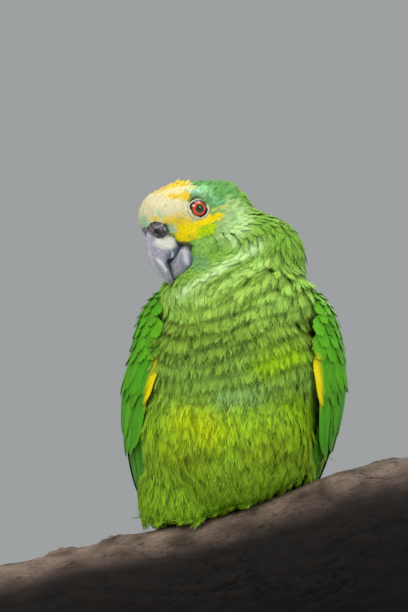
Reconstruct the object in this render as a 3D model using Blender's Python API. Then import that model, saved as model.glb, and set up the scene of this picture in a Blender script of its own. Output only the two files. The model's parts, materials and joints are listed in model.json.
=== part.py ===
"""A life-size amazon parrot perched on a cut length of branch, held up by a plain display stand.

Metres, +Z up. The origin is the centre of the stand's underside. The bird's breast faces -Y, its left is +X,
and its head is turned to its right. Most sizes are given in the crest frame, whose origin lies on the crest
of the branch right under the bird, or in the bill frame, whose origin lies between the nostrils.
"""

import math

import bmesh
import bpy
from mathutils import Matrix, Vector

GAP = 0.0003  # left between neighbouring pieces

# The crest frame, above the middle of the stand.
CREST = Vector((0.0, -0.015, 0.130))

# The bill frame: +X is where the bill points, +Y the bird's left, +Z the top of the head.
BILL_ROOT = Vector((-0.0480, -0.019, 0.160))
HEAD_TURN = math.radians(56)  # from straight ahead towards the bird's right
HEAD_NOD = math.radians(26)  # bill lowered

# The masses of the body, each an ellipsoid: centre, radii, and how many degrees its foot leans to the back.
BODY_MASSES = {
    "belly": ((-0.005, 0.007, 0.048), (0.052, 0.047, 0.051), 0),
    "breast": ((-0.001, 0.002, 0.080), (0.0515, 0.0450, 0.048), 0),
    "collar": ((0.001, 0.003, 0.116), (0.0475, 0.037, 0.033), 0),
    "nape": ((0.012, 0.009, 0.146), (0.029, 0.026, 0.026), 0),
    "back": ((0.000, 0.016, 0.080), (0.056, 0.029, 0.058), 10),
    "mantle": ((0.000, 0.024, 0.088), (0.030, 0.027, 0.050), 12),
    "rump": ((-0.004, 0.038, 0.034), (0.046, 0.030, 0.052), 20),
    "right_flank": ((-0.026, 0.012, 0.008), (0.031, 0.028, 0.034), 0),
    "left_flank": ((0.019, 0.014, 0.028), (0.029, 0.027, 0.028), 0),
    "tail_coverts": ((-0.007, 0.061, -0.010), (0.022, 0.011, 0.046), 17),
}

# The masses of the head in the bill frame: centre and radii.
HEAD_MASSES = {
    "skull": ((-0.031, 0, -0.0075), (0.030, 0.0205, 0.0208)),
    "forehead": ((-0.0125, 0, 0.0030), (0.0172, 0.0165, 0.0150)),
    "front_crown": ((-0.0215, 0, 0.0010), (0.0200, 0.0180, 0.0168)),
    "cheeks": ((-0.028, 0, -0.018), (0.019, 0.0205, 0.0155)),
    "occiput": ((-0.046, 0, -0.012), (0.0195, 0.0190, 0.0208)),
}

MELT_VOXEL = 0.0022
MELT_ROUNDS = 22
FLESH_TRIANGLES = 2000

# Where the flesh is parted: a point of the cut, and the direction that the upper piece lies in.
HEAD_CUT = (Vector((-0.041, 0, -0.017)), Vector((0.43, 0, 0.90)))  # bill frame
NECK_CUT = (Vector((0, 0, 0.112)), Vector((-0.20, -0.12, 1)))  # crest frame

EYE_RADIUS = 0.0063
EYE_PLACE = Vector((-0.0246, 0.0141, 0.0015))  # bill frame, the left eye

# The upper bill's culmen is an arc, and the rows run from its root to its tip:
# angle on that arc in degrees, then the cutting edge's place and the half width.
CULMEN_CENTRE = Vector((-0.0178, 0, -0.0173))
CULMEN_RADIUS = 0.0263
UPPER_BILL_ROWS = [
    (78, -0.0190, -0.0060, 0.0084),
    (55, -0.0150, -0.0110, 0.0091),
    (32, -0.0095, -0.0160, 0.0090),
    (12, -0.0045, -0.0180, 0.0081),
    (-7, 0.0004, -0.0195, 0.0063),
    (-27, 0.0010, -0.0270, 0.0040),
    (-46, -0.0008, -0.0356, 0.0010),
]
# The lower bill, root to tip: its keel, its cutting edge, and the half width.
LOWER_BILL_ROWS = [
    (-0.0225, -0.0240, -0.0185, -0.0130, 0.0078),
    (-0.0150, -0.0305, -0.0120, -0.0170, 0.0082),
    (-0.0065, -0.0330, -0.0055, -0.0200, 0.0072),
    (0.0000, -0.0305, -0.0006, -0.0245, 0.0044),
]
BILL_RINGS = 9
BILL_SIDES = 12

CERE_PLACE = Vector((-0.0012, 0, 0.0008))
CERE_RADII = Vector((0.0052, 0.0090, 0.0057))

# A wing folded on the body, shoulder to tip, in the crest frame. It is an arc of an ellipse in plan:
# height, the ellipse's centre behind the crest, its half width and half depth, the angles in degrees at which
# the leading edge and the edge on the back lie, and the wing's thickness.
WING_ROWS = [
    (0.125, 0.004, 0.0465, 0.026, -14, 52, 0.003),
    (0.113, 0.006, 0.0555, 0.034, -28, 62, 0.008),
    (0.092, 0.009, 0.0610, 0.043, -34, 70, 0.010),
    (0.066, 0.013, 0.0645, 0.049, -32, 77, 0.010),
    (0.038, 0.020, 0.0600, 0.049, -26, 81, 0.009),
    (0.012, 0.031, 0.0515, 0.043, -12, 83, 0.008),
    (-0.016, 0.0465, 0.0360, 0.033, 18, 83, 0.006),
    (-0.044, 0.0645, 0.0230, 0.021, 50, 82, 0.004),
    (-0.070, 0.0785, 0.0140, 0.012, 50, 80, 0.002),
]
# The body sways to its right below this height, by this much for each metre, down to the branch.
SWAY_HEIGHTS = (0.0, 0.075, 0.090)
SWAY = 0.09
WING_RINGS = 13
WING_ARC_POINTS = 8

# The tail, a flat fan of feathers: from its root inside the coverts to its tip.
TAIL_ROOT = Vector((-0.007, 0.060, -0.002))
TAIL_TIP = Vector((-0.007, 0.092, -0.104))
TAIL_HALF_WIDTHS = (0.013, 0.018, 0.0215, 0.024, 0.025, 0.0245, 0.019)
TAIL_THICKNESS = 0.0052
TAIL_BOW = 0.003  # how far the edges bend towards the front

THIGH_RADII = Vector((0.0125, 0.0150, 0.0200))
THIGH_PLACE = Vector((0.021, 0.039, 0.0145))  # the left one, above the slope of the branch

# The feet grip the branch behind its crest. Angles run round the branch, from its crest towards the back.
FOOT_ANGLE = math.radians(52)
FOOT_X = 0.021
FOOT_LEAN = 0.008  # the rings of the branch lean to the bird's right, and so the feet start this far left
TARSUS_RADIUS = 0.0040
TARSUS_RISE = Vector((0, 0.009, 0.026))
TOE_RADIUS = 0.0033
# Each toe's length without its claw, the way that it points (1 to the front, -1 to the back), and how far
# its tip leans outwards. Parrots have two toes each way.
TOES = {
    "inner_front": (0.020, 1, -0.006),
    "outer_front": (0.025, 1, 0.006),
    "outer_back": (0.024, -1, 0.004),
    "inner_back": (0.015, -1, -0.005),
}
TOE_RINGS = 6
TOE_SIDES = 6
CLAW_LENGTH = 0.0105
CLAW_TURN = math.radians(70)
CLAW_RADIUS = 0.0021
CLAW_SIDES = 6
CLAW_RINGS = 4

# The branch, a short cut length that slopes up towards the bird's left.
PERCH_ENDS = (-0.150, 0.115)
PERCH_SLOPE = 0.27
PERCH_RADII = (0.0360, 0.0470)
PERCH_RINGS = 16
PERCH_SIDES = 20
PERCH_SADDLE = 0.0045  # how much lower the crest runs under the bird than to either side
# The belly arches over the feet: the hollow's height over the bark, how far back it lies, and its ends.
FOOT_ROOM_HEIGHT = 0.0095
FOOT_ROOM_BACK = 0.016
FOOT_ROOM_ENDS = (-0.090, 0.090)
FOOT_ROOM_RINGS = 7
FOOT_ROOM_SIDES = 24

# The stand.
BASE_SIZE = Vector((0.210, 0.160, 0.012))
BASE_CORNER = 0.020
BASE_BEVEL = 0.002
ROD_RADIUS = 0.0045
ROD_PLACES = {"stand_rod_low": -0.078, "stand_rod_high": 0.070}
ROD_SIDES = 16


# ---------------------------------------------------------------- frames, meshes and materials


def crest_frame():
    return Matrix.Translation(CREST)


def bill_frame():
    turned = Matrix.Rotation(-math.pi / 2 - HEAD_TURN, 4, "Z")
    nodded = Matrix.Rotation(HEAD_NOD, 4, "Y")
    return crest_frame() @ Matrix.Translation(BILL_ROOT) @ turned @ nodded


def material(name, colour, roughness, metallic=0.0):
    made = bpy.data.materials.get(name)
    if made is None:
        made = bpy.data.materials.new(name)
        made.use_nodes = True
        shader = made.node_tree.nodes["Principled BSDF"]
        shader.inputs["Base Color"].default_value = (*colour, 1)
        shader.inputs["Roughness"].default_value = roughness
        shader.inputs["Metallic"].default_value = metallic
    return made


def green_plumage():
    return material("green_plumage", (0.16, 0.38, 0.04), 0.75)


def wing_plumage():
    return material("wing_plumage", (0.05, 0.28, 0.04), 0.6)


def horn():
    return material("horn", (0.32, 0.32, 0.36), 0.4)


def grey_skin():
    return material("grey_skin", (0.22, 0.21, 0.20), 0.7)


def dark_claw():
    return material("dark_claw", (0.05, 0.05, 0.05), 0.4)


def iris():
    return material("iris", (0.75, 0.16, 0.02), 0.15)


def bark():
    return material("bark", (0.20, 0.15, 0.12), 0.9)


def stand_finish():
    return material("stand_finish", (0.05, 0.05, 0.055), 0.5)


def object_from(name, bm, frame, finish):
    """A new object that holds this bmesh, placed by frame and shaded smooth."""
    bmesh.ops.recalc_face_normals(bm, faces=bm.faces)
    mesh = bpy.data.meshes.new(name)
    bm.to_mesh(mesh)
    bm.free()
    mesh.materials.append(finish)
    mesh.shade_smooth()
    mesh.set_sharp_from_angle(angle=math.radians(50))
    made = bpy.data.objects.new(name, mesh)
    bpy.context.scene.collection.objects.link(made)
    made.matrix_world = frame
    return made


def loft(name, rings, frame, finish, tip=None):
    """A closed solid through rings of points, each end closed by a face, or the last by a tip."""
    bm = bmesh.new()
    loops = [[bm.verts.new(point) for point in ring] for ring in rings]
    for ring, following in zip(loops, loops[1:]):
        for i, corner in enumerate(ring):
            j = (i + 1) % len(ring)
            bm.faces.new((corner, ring[j], following[j], following[i]))
    bm.faces.new(list(reversed(loops[0])))
    if tip is None:
        bm.faces.new(loops[-1])
    else:
        point = bm.verts.new(tip)
        last = loops[-1]
        for i, corner in enumerate(last):
            bm.faces.new((corner, last[(i + 1) % len(last)], point))
    return object_from(name, bm, frame, finish)


def ellipsoid(name, centre, radii, frame, finish, segments=20, rings=12):
    bm = bmesh.new()
    bmesh.ops.create_uvsphere(bm, u_segments=segments, v_segments=rings, radius=1)
    bmesh.ops.transform(bm, matrix=Matrix.Diagonal((*radii, 1)), verts=bm.verts)
    return object_from(name, bm, frame @ Matrix.Translation(centre), finish)


def smooth_row(rows, t):
    """The row at t, from 0 to 1, on a smooth curve through evenly spaced rows of numbers."""
    place = t * (len(rows) - 1)
    i = min(int(place), len(rows) - 2)
    f = place - i
    near = [rows[min(max(k, 0), len(rows) - 1)] for k in (i - 1, i, i + 1, i + 2)]
    return [
        b + 0.5 * f * (c - a + f * (2 * a - 5 * b + 4 * c - d + f * (3 * (b - c) + d - a)))
        for a, b, c, d in zip(*near)
    ]


def evaluated_mesh(obj):
    graph = bpy.context.evaluated_depsgraph_get()
    return bpy.data.meshes.new_from_object(obj.evaluated_get(graph))


def apply_modifiers(obj):
    bpy.context.view_layer.update()
    mesh = evaluated_mesh(obj)
    obj.modifiers.clear()
    obj.data = mesh
    return obj


def combine(obj, others, operation):
    """Booleans obj with each of the others, and removes them."""
    for other in others:
        boolean = obj.modifiers.new(operation.lower(), "BOOLEAN")
        boolean.operation = operation
        boolean.solver = "EXACT"
        boolean.object = other
    apply_modifiers(obj)
    for other in others:
        bpy.data.objects.remove(other)
    return obj


def grown(obj, by=GAP):
    """A copy of obj whose surface lies this far outside it."""
    copy = obj.copy()
    copy.data = obj.data.copy()
    bpy.context.scene.collection.objects.link(copy)
    normals = [vertex.normal.copy() for vertex in copy.data.vertices]
    for vertex, normal in zip(copy.data.vertices, normals):
        vertex.co += normal * by
    return copy


def make_room(obj, neighbours):
    """Cuts obj back so that it clears each neighbour by the gap."""
    combine(obj, [grown(neighbour) for neighbour in neighbours], "DIFFERENCE")
    return keep_largest(obj)


def keep_largest(obj):
    """Leaves only the largest closed body of this object's mesh."""
    bm = bmesh.new()
    bm.from_mesh(obj.data)
    unseen = set(bm.verts)
    bodies = []
    while unseen:
        body, edge_of_body = set(), [unseen.pop()]
        while edge_of_body:
            vertex = edge_of_body.pop()
            body.add(vertex)
            near = [edge.other_vert(vertex) for edge in vertex.link_edges]
            fresh = [other for other in near if other in unseen]
            unseen.difference_update(fresh)
            edge_of_body.extend(fresh)
        bodies.append(body)
    largest = max(bodies, key=len)
    bmesh.ops.delete(bm, geom=[v for v in bm.verts if v not in largest], context="VERTS")
    bm.to_mesh(obj.data)
    bm.free()
    return obj


# ---------------------------------------------------------------- flesh: head, neck and trunk


def masses():
    made = []
    for name, (centre, radii, back) in BODY_MASSES.items():
        lean = Matrix.Rotation(math.radians(back), 4, "X")
        frame = crest_frame() @ Matrix.Translation(centre) @ lean
        made.append(ellipsoid(name, (0, 0, 0), radii, frame, green_plumage(), 40, 24))
    for name, (centre, radii) in HEAD_MASSES.items():
        made.append(ellipsoid(name, centre, radii, bill_frame(), green_plumage(), 40, 24))
    return made


def melted(objects, name, voxel, rounds, triangles):
    """One closed mesh in world space: the objects flow together, softened, with about so many triangles."""
    bm = bmesh.new()
    bpy.context.view_layer.update()
    for obj in objects:
        obj.data.transform(obj.matrix_world)
        bm.from_mesh(obj.data)
        bpy.data.objects.remove(obj)
    whole = object_from(name, bm, Matrix.Identity(4), green_plumage())
    remesh = whole.modifiers.new("remesh", "REMESH")
    remesh.mode = "VOXEL"
    remesh.voxel_size = voxel
    soften = whole.modifiers.new("soften", "SMOOTH")
    soften.factor = 0.5
    soften.iterations = rounds
    apply_modifiers(whole)
    thin = whole.modifiers.new("thin", "DECIMATE")
    whole.data.calc_loop_triangles()
    thin.ratio = triangles / len(whole.data.loop_triangles)
    apply_modifiers(whole)
    return whole


def side_of(obj, name, point, normal):
    """The part of obj that lies in the direction of normal from point, less half the gap, with its cut closed."""
    bm = bmesh.new()
    bm.from_mesh(obj.data)
    bmesh.ops.bisect_plane(
        bm,
        geom=[*bm.verts, *bm.edges, *bm.faces],
        plane_co=point + normal.normalized() * GAP / 2,
        plane_no=normal,
        clear_inner=True,
    )
    rim = [edge for edge in bm.edges if edge.is_boundary]
    bmesh.ops.holes_fill(bm, edges=rim)
    bmesh.ops.triangulate(bm, faces=bm.faces)
    return object_from(name, bm, Matrix.Identity(4), green_plumage())


def flesh():
    """The head, neck and trunk, modelled whole and parted by two thin cuts."""
    whole = melted(masses(), "flesh", MELT_VOXEL, MELT_ROUNDS, FLESH_TRIANGLES)
    head_point = bill_frame() @ HEAD_CUT[0]
    head_way = bill_frame().to_3x3() @ HEAD_CUT[1]
    neck_point = crest_frame() @ NECK_CUT[0]
    neck_way = NECK_CUT[1]
    head = side_of(whole, "head", head_point, head_way)
    below = side_of(whole, "below", head_point, -head_way)
    neck = side_of(below, "neck", neck_point, neck_way)
    trunk = side_of(below, "trunk", neck_point, -neck_way)
    for helper in (whole, below):
        bpy.data.objects.remove(helper)
    return head, neck, trunk


# ---------------------------------------------------------------- head pieces


def bill_ring(ridge, edge, half_width, sides=BILL_SIDES, fullness=0.8):
    """A ring from the ridge round both cutting edges, in the plane across the bill."""
    ring = []
    for i in range(sides):
        angle = 2 * math.pi * i / sides
        depth = ((1 - math.cos(angle)) / 2) ** fullness
        across = math.copysign(abs(math.sin(angle)) ** fullness, math.sin(angle))
        middle = ridge.lerp(edge, depth)
        ring.append(Vector((middle.x, half_width * across, middle.z)))
    return ring


def upper_bill():
    rings = []
    for i in range(BILL_RINGS):
        angle, edge_x, edge_z, half_width = smooth_row(UPPER_BILL_ROWS, i / (BILL_RINGS - 1))
        around = math.radians(angle)
        ridge = CULMEN_CENTRE + CULMEN_RADIUS * Vector((math.cos(around), 0, math.sin(around)))
        rings.append(bill_ring(ridge, Vector((edge_x, 0, edge_z)), half_width))
    return loft("bill_upper", rings, bill_frame(), horn())


def lower_bill():
    rings = []
    for i in range(BILL_RINGS - 2):
        row = smooth_row(LOWER_BILL_ROWS, i / (BILL_RINGS - 3))
        keel = Vector((row[0], 0, row[1]))
        edge = Vector((row[2], 0, row[3]))
        rings.append(bill_ring(keel, edge, row[4]))
    return loft("bill_lower", rings, bill_frame(), horn())


def head_pieces():
    """The bill, cere and eyes, cut clear of each other."""
    upper = upper_bill()
    lower = lower_bill()
    cere = ellipsoid("cere", CERE_PLACE, CERE_RADII, bill_frame(), grey_skin(), 14, 9)
    make_room(upper, [cere, lower])
    eyes = []
    for name, side in (("eye_left", 1), ("eye_right", -1)):
        place = Vector((EYE_PLACE.x, side * EYE_PLACE.y, EYE_PLACE.z))
        radii = Vector((EYE_RADIUS,) * 3)
        eyes.append(ellipsoid(name, place, radii, bill_frame(), iris(), 14, 9))
    return [upper, lower, cere, *eyes]


# ---------------------------------------------------------------- wings and tail


def sway(height):
    lowest, middle, highest = SWAY_HEIGHTS
    return SWAY * (min(max(height, lowest), highest) - middle)


def wing(name, side):
    """A folded wing: a crescent in plan that follows the flank and back, thin at its edges."""
    rings = []
    for i in range(WING_RINGS):
        height, back, half_width, half_depth, lead, rear, thickness = smooth_row(
            WING_ROWS, i / (WING_RINGS - 1)
        )
        outer, inner = [], []
        for j in range(WING_ARC_POINTS):
            share = j / (WING_ARC_POINTS - 1)
            angle = math.radians(lead + (rear - lead) * share)
            depth = thickness * (0.18 + 0.82 * math.sin(math.pi * share) ** 0.6)
            for points, inset in ((outer, 0), (inner, depth)):
                x = (half_width - inset) * math.cos(angle)
                y = back + (half_depth - inset) * math.sin(angle)
                points.append(Vector((side * x + sway(height), y, height)))
        rings.append(outer + inner[::-1])
    return loft(name, rings, crest_frame(), wing_plumage())


def tail():
    """The fan of tail feathers: a thin slab, bowed across and rounded at its end."""
    along = TAIL_TIP - TAIL_ROOT
    behind = along.cross(Vector((1, 0, 0))).normalized()
    if behind.y < 0:
        behind.negate()
    shares = (-1, -0.92, -0.6, -0.3, 0, 0.3, 0.6, 0.92, 1)
    rings = []
    rows = [(w,) for w in TAIL_HALF_WIDTHS]
    steps = 10
    for i in range(steps + 1):
        t = i / steps
        half_width = smooth_row(rows, t)[0]
        upper, under = [], []
        for share in shares:
            # The middle feathers are a little longer than the outer ones.
            end = 1 - 0.06 * share * share * t
            middle = TAIL_ROOT + along * t * end + behind * (-TAIL_BOW * share * share)
            middle.x = TAIL_ROOT.x + half_width * share
            thickness = TAIL_THICKNESS * (0.35 + 0.65 * math.sqrt(1 - share * share)) * (1 - 0.5 * t)
            upper.append(middle + behind * thickness / 2)
            under.append(middle - behind * thickness / 2)
        rings.append(upper + under[::-1])
    return loft("tail", rings, crest_frame(), wing_plumage())


# ---------------------------------------------------------------- branch


def perch_crest(x):
    """Height of the crest of the branch, which sags a little under the bird."""
    return PERCH_SLOPE * x + PERCH_SADDLE * (0.75 - math.exp(-((x / 0.05) ** 2)))


def perch_radius(x):
    share = (x - PERCH_ENDS[0]) / (PERCH_ENDS[1] - PERCH_ENDS[0])
    return PERCH_RADII[0] + (PERCH_RADII[1] - PERCH_RADII[0]) * share


def perch_heart(x):
    """The middle of the branch."""
    return Vector((x, 0, perch_crest(x) - perch_radius(x) * (1 + PERCH_SLOPE**2)))


def perch_point(x, angle, lift=0.0):
    """A point on the branch in the crest frame, angle round from the crest towards the back."""
    uneven = 1 + 0.022 * math.sin(2 * angle + 25 * x + 0.4) + 0.014 * math.sin(3 * angle - 60 * x)
    out = perch_radius(x) * uneven + lift
    lean = PERCH_SLOPE * out * math.cos(angle)
    return perch_heart(x) + Vector((-lean, out * math.sin(angle), out * math.cos(angle)))


def perch():
    rings = []
    for i in range(PERCH_RINGS):
        x = PERCH_ENDS[0] + (PERCH_ENDS[1] - PERCH_ENDS[0]) * i / (PERCH_RINGS - 1)
        rings.append([perch_point(x, 2 * math.pi * j / PERCH_SIDES) for j in range(PERCH_SIDES)])
    return loft("perch", rings, crest_frame(), bark())


def foot_room():
    """A cutter along the branch that keeps the belly off the toes."""
    rings = []
    for i in range(FOOT_ROOM_RINGS):
        x = FOOT_ROOM_ENDS[0] + (FOOT_ROOM_ENDS[1] - FOOT_ROOM_ENDS[0]) * i / (FOOT_ROOM_RINGS - 1)
        centre = perch_heart(x) + Vector((0, FOOT_ROOM_BACK, 0))
        radius = perch_radius(x) + FOOT_ROOM_HEIGHT
        angles = [2 * math.pi * j / FOOT_ROOM_SIDES for j in range(FOOT_ROOM_SIDES)]
        rings.append(
            [
                centre + radius * Vector((-PERCH_SLOPE * math.cos(a), math.sin(a), math.cos(a)))
                for a in angles
            ]
        )
    return loft("foot_room", rings, crest_frame(), bark())


# ---------------------------------------------------------------- legs


def tube(name, path, radii, sides, finish, tip=None):
    """A tapered tube along a path in the crest frame."""
    rings = []
    for i, point in enumerate(path):
        ahead = path[min(i + 1, len(path) - 1)] - path[max(i - 1, 0)]
        across = ahead.cross(Vector((0.2, 0.3, 1))).normalized()
        upwards = across.cross(ahead).normalized()
        angles = [2 * math.pi * j / sides for j in range(sides)]
        rings.append(
            [point + radii[i] * (across * math.cos(a) + upwards * math.sin(a)) for a in angles]
        )
    return loft(name, rings, crest_frame(), finish, tip)


def toe_place(side, toe_name, t):
    """Where along the branch and how far round it this toe is at t, from 0 at the foot to 1 at its end."""
    length, way, outwards = TOES[toe_name]
    x = side * (FOOT_X + outwards * t) + FOOT_LEAN
    return x, FOOT_ANGLE - way * length * t / (perch_radius(x) + TOE_RADIUS)


def toe_path(side, toe_name):
    """Points along a toe from the ball of the foot, on the branch."""
    path = []
    for i in range(TOE_RINGS):
        t = i / (TOE_RINGS - 1)
        arch = 0.0012 * math.sin(math.pi * t)
        x, angle = toe_place(side, toe_name, t)
        path.append(perch_point(x, angle, TOE_RADIUS + GAP + 0.0002 + arch))
    return path


def toe(name, side):
    radii = []
    for i in range(TOE_RINGS):
        t = i / (TOE_RINGS - 1)
        radii.append(TOE_RADIUS * (1.02 - 0.22 * t + 0.05 * math.cos(6 * math.pi * t)))
    return tube(name, toe_path(side, name), radii, TOE_SIDES, grey_skin())


def claw(name, side, toe_name):
    """A hooked claw that starts clear of the toe's end and curves down to the bark."""
    *_, before, start = toe_path(side, toe_name)
    ahead = (start - before).normalized()
    place = toe_place(side, toe_name, 1)
    away = (perch_point(*place, 0.01) - perch_point(*place)).normalized()
    path = []
    for i in range(CLAW_RINGS + 1):
        turn = CLAW_TURN * i / CLAW_RINGS
        reach = CLAW_LENGTH * math.sin(turn) / CLAW_TURN
        drop = CLAW_LENGTH * (1 - math.cos(turn)) / CLAW_TURN
        path.append(start + ahead * (GAP + reach) + away * (0.0014 - drop * 0.75))
    radii = [CLAW_RADIUS * (1 - i / CLAW_RINGS) ** 0.7 for i in range(CLAW_RINGS)]
    return tube(name, path[:-1], radii, CLAW_SIDES, dark_claw(), path[-1])


def foot(name, side, thigh):
    """The scaly leg and its four toes, up to where the thigh's feathers cover it."""
    ball = perch_point(side * FOOT_X + FOOT_LEAN, FOOT_ANGLE, TOE_RADIUS + 0.0012)
    path = [ball + TARSUS_RISE * t for t in (0, 0.35, 0.7, 1)]
    radii = [TARSUS_RADIUS * k for k in (1.05, 0.95, 1.0, 1.1)]
    leg = tube(name, path, radii, 10, grey_skin())
    combine(leg, [toe(toe_name, side) for toe_name in TOES], "UNION")
    return make_room(leg, [thigh])


def legs():
    made = []
    for word, side in (("left", 1), ("right", -1)):
        place = Vector((side * THIGH_PLACE.x, THIGH_PLACE.y, THIGH_PLACE.z))
        place.z += PERCH_SLOPE * place.x
        thigh = ellipsoid(f"thigh_{word}", place, THIGH_RADII, crest_frame(), green_plumage(), 12, 8)
        whole_foot = foot(f"foot_{word}", side, thigh)
        made.append((thigh, whole_foot))
        for toe_name in TOES:
            make_room(claw(f"claw_{word}_{toe_name}", side, toe_name), [whole_foot])
    return made


# ---------------------------------------------------------------- stand


def stand_base():
    bm = bmesh.new()
    bmesh.ops.create_cube(bm, size=1)
    bmesh.ops.transform(bm, matrix=Matrix.Diagonal((*BASE_SIZE, 1)), verts=bm.verts)
    uprights = [e for e in bm.edges if abs(e.verts[0].co.z - e.verts[1].co.z) > BASE_SIZE.z / 2]
    bmesh.ops.bevel(bm, geom=uprights, offset=BASE_CORNER, segments=4, affect="EDGES", profile=0.5)
    rim = [e for e in bm.edges if all(v.co.z > 0 for v in e.verts)]
    bmesh.ops.bevel(bm, geom=rim, offset=BASE_BEVEL, segments=2, affect="EDGES", profile=0.5)
    frame = Matrix.Translation((0, 0, BASE_SIZE.z / 2))
    return object_from("stand_base", bm, frame, stand_finish())


def stand_rods(branch):
    """Two upright rods from the base up to the underside of the branch."""
    for name, x in ROD_PLACES.items():
        low = BASE_SIZE.z + GAP
        high = (CREST + perch_point(x, 0)).z - perch_radius(x)
        bm = bmesh.new()
        bmesh.ops.create_cone(
            bm, segments=ROD_SIDES, radius1=ROD_RADIUS, radius2=ROD_RADIUS, depth=high - low, cap_ends=True
        )
        frame = Matrix.Translation((x, CREST.y, (low + high) / 2))
        rod = object_from(name, bm, frame, stand_finish())
        make_room(rod, [branch])


# ---------------------------------------------------------------- assembly


def main():
    for obj in list(bpy.data.objects):
        bpy.data.objects.remove(obj)
    head, neck, trunk = flesh()
    pieces = head_pieces()
    make_room(head, pieces)
    make_room(neck, pieces[:2])
    branch = perch()
    wings = [wing("wing_left", 1), wing("wing_right", -1)]
    fan = tail()
    legs_made = legs()
    make_room(head, wings)
    make_room(neck, wings)
    combine(trunk, [foot_room()], "DIFFERENCE")
    make_room(trunk, [*wings, fan, branch, *[thigh for thigh, _ in legs_made]])
    stand_base()
    stand_rods(branch)


main()
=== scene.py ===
"""An amazon parrot on a cut length of branch: the plumage, bill, eyes, feet, bark, light and camera.

Metres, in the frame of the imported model. Places are given in the crest frame, whose origin is the crest of
the branch under the bird (+X its left, -Y the way its breast faces), or in the bill frame, whose origin lies
between the nostrils (+X the way the bill points, +Y the bird's left, +Z the top of the head).
Every feather is a vane of barbs laid along the body, and carries the colour of its place.
"""

import json
import math

import bmesh
import bpy
import numpy as np
from mathutils import Matrix, Vector, noise
from mathutils.bvhtree import BVHTree

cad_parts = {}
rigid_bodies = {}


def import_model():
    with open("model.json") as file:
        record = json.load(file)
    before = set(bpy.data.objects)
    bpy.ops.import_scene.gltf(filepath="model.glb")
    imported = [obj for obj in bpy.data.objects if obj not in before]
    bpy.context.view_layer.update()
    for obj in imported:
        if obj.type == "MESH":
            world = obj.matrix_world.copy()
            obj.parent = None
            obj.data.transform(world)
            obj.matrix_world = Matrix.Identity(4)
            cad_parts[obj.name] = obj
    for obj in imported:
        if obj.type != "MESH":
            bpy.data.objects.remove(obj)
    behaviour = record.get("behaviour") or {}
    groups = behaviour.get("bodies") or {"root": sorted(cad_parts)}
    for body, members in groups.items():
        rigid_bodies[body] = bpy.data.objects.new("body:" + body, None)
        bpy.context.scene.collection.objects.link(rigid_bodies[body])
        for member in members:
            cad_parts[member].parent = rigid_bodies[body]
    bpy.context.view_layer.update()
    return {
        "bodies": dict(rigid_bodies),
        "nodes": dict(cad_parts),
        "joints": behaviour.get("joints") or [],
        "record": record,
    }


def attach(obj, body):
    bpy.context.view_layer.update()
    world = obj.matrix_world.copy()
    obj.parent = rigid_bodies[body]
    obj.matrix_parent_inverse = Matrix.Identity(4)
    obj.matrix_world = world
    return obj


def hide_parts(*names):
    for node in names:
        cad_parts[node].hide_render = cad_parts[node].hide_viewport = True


CREST = Vector((0.0, -0.015, 0.130))
BILL_ROOT = Vector((-0.0480, -0.019, 0.160))
HEAD_TURN = math.radians(56)
HEAD_NOD = math.radians(26)

FLESH_NODES = ("head", "neck", "trunk", "thigh_left", "thigh_right")
SKIN_VOXEL = 0.0014
SKIN_GROWTH = 0.0003  # closes the thin cuts between the nodes of flesh

EYE_PLACE = Vector((-0.0237, 0.0138, 0.0003))  # bill frame, the left eye
EYE_RADIUS = 0.0063
GAZE = Vector((0.20, 1.0, 0.10))
EYE_STRETCH = (1.0, 0.6, 1.1)  # how a distance from the eye counts along each axis of the bill frame
LID_OPENING = (0.0057, 0.0050)  # half width and half height
LID_REACH = 0.0056  # feathers that run towards an eye end this far from its middle
# The coloured rings of the eye: where each ends, as an angle from the gaze, and its colour.
IRIS_RINGS = [
    (13, (0.003, 0.003, 0.003)),
    (16, (0.040, 0.034, 0.004)),
    (24, (0.120, 0.090, 0.004)),
    (28, (0.86, 0.085, 0.001)),
    (35, (0.86, 0.050, 0.001)),
    (38.5, (0.10, 0.018, 0.008)),
    (42, (0.030, 0.030, 0.038)),
    (48, (0.018, 0.018, 0.022)),
    (90, (0.012, 0.012, 0.014)),
]

# The culmen is an arc, and the rows run from the root of the upper bill to its tip:
# angle on that arc in degrees, then the cutting edge's place and the half width.
CULMEN_CENTRE = Vector((-0.0178, 0, -0.0173))
CULMEN_RADIUS = 0.0263
UPPER_BILL_ROWS = [
    (78, -0.0190, -0.0060, 0.0084),
    (55, -0.0160, -0.0122, 0.0091),
    (32, -0.0110, -0.0176, 0.0090),
    (12, -0.0062, -0.0198, 0.0081),
    (-7, -0.0008, -0.0210, 0.0063),
    (-27, 0.0006, -0.0272, 0.0040),
    (-46, -0.0008, -0.0356, 0.0010),
]
# The lower bill, root to tip: its keel, its cutting edge, and the half width.
LOWER_BILL_ROWS = [
    (-0.0240, -0.0235, -0.0190, -0.0130, 0.0066),
    (-0.0165, -0.0310, -0.0122, -0.0142, 0.0102),
    (-0.0075, -0.0352, -0.0058, -0.0188, 0.0088),
    (0.0000, -0.0322, -0.0004, -0.0238, 0.0050),
]
# Where the face is bare at the gape: centre and radii in the bill frame.
GAPE = ((-0.0092, 0.0102, -0.0168), (0.0042, 0.0056, 0.0038))
# The cere is one band over the bill's root with a swelling round each nostril: centres and radii.
CERE_BAND = ((-0.0026, 0, 0.0004), (0.0060, 0.0084, 0.0056))
CERE_SWELLINGS = [
    ((-0.0014, 0.0046, -0.0014), (0.0052, 0.0060, 0.0064)),
    ((-0.0016, -0.0044, -0.0014), (0.0038, 0.0038, 0.0056)),
]
NOSTRIL = Vector((0.0010, 0.0079, -0.0022))
NOSTRIL_RADIUS = 0.0018

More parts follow.
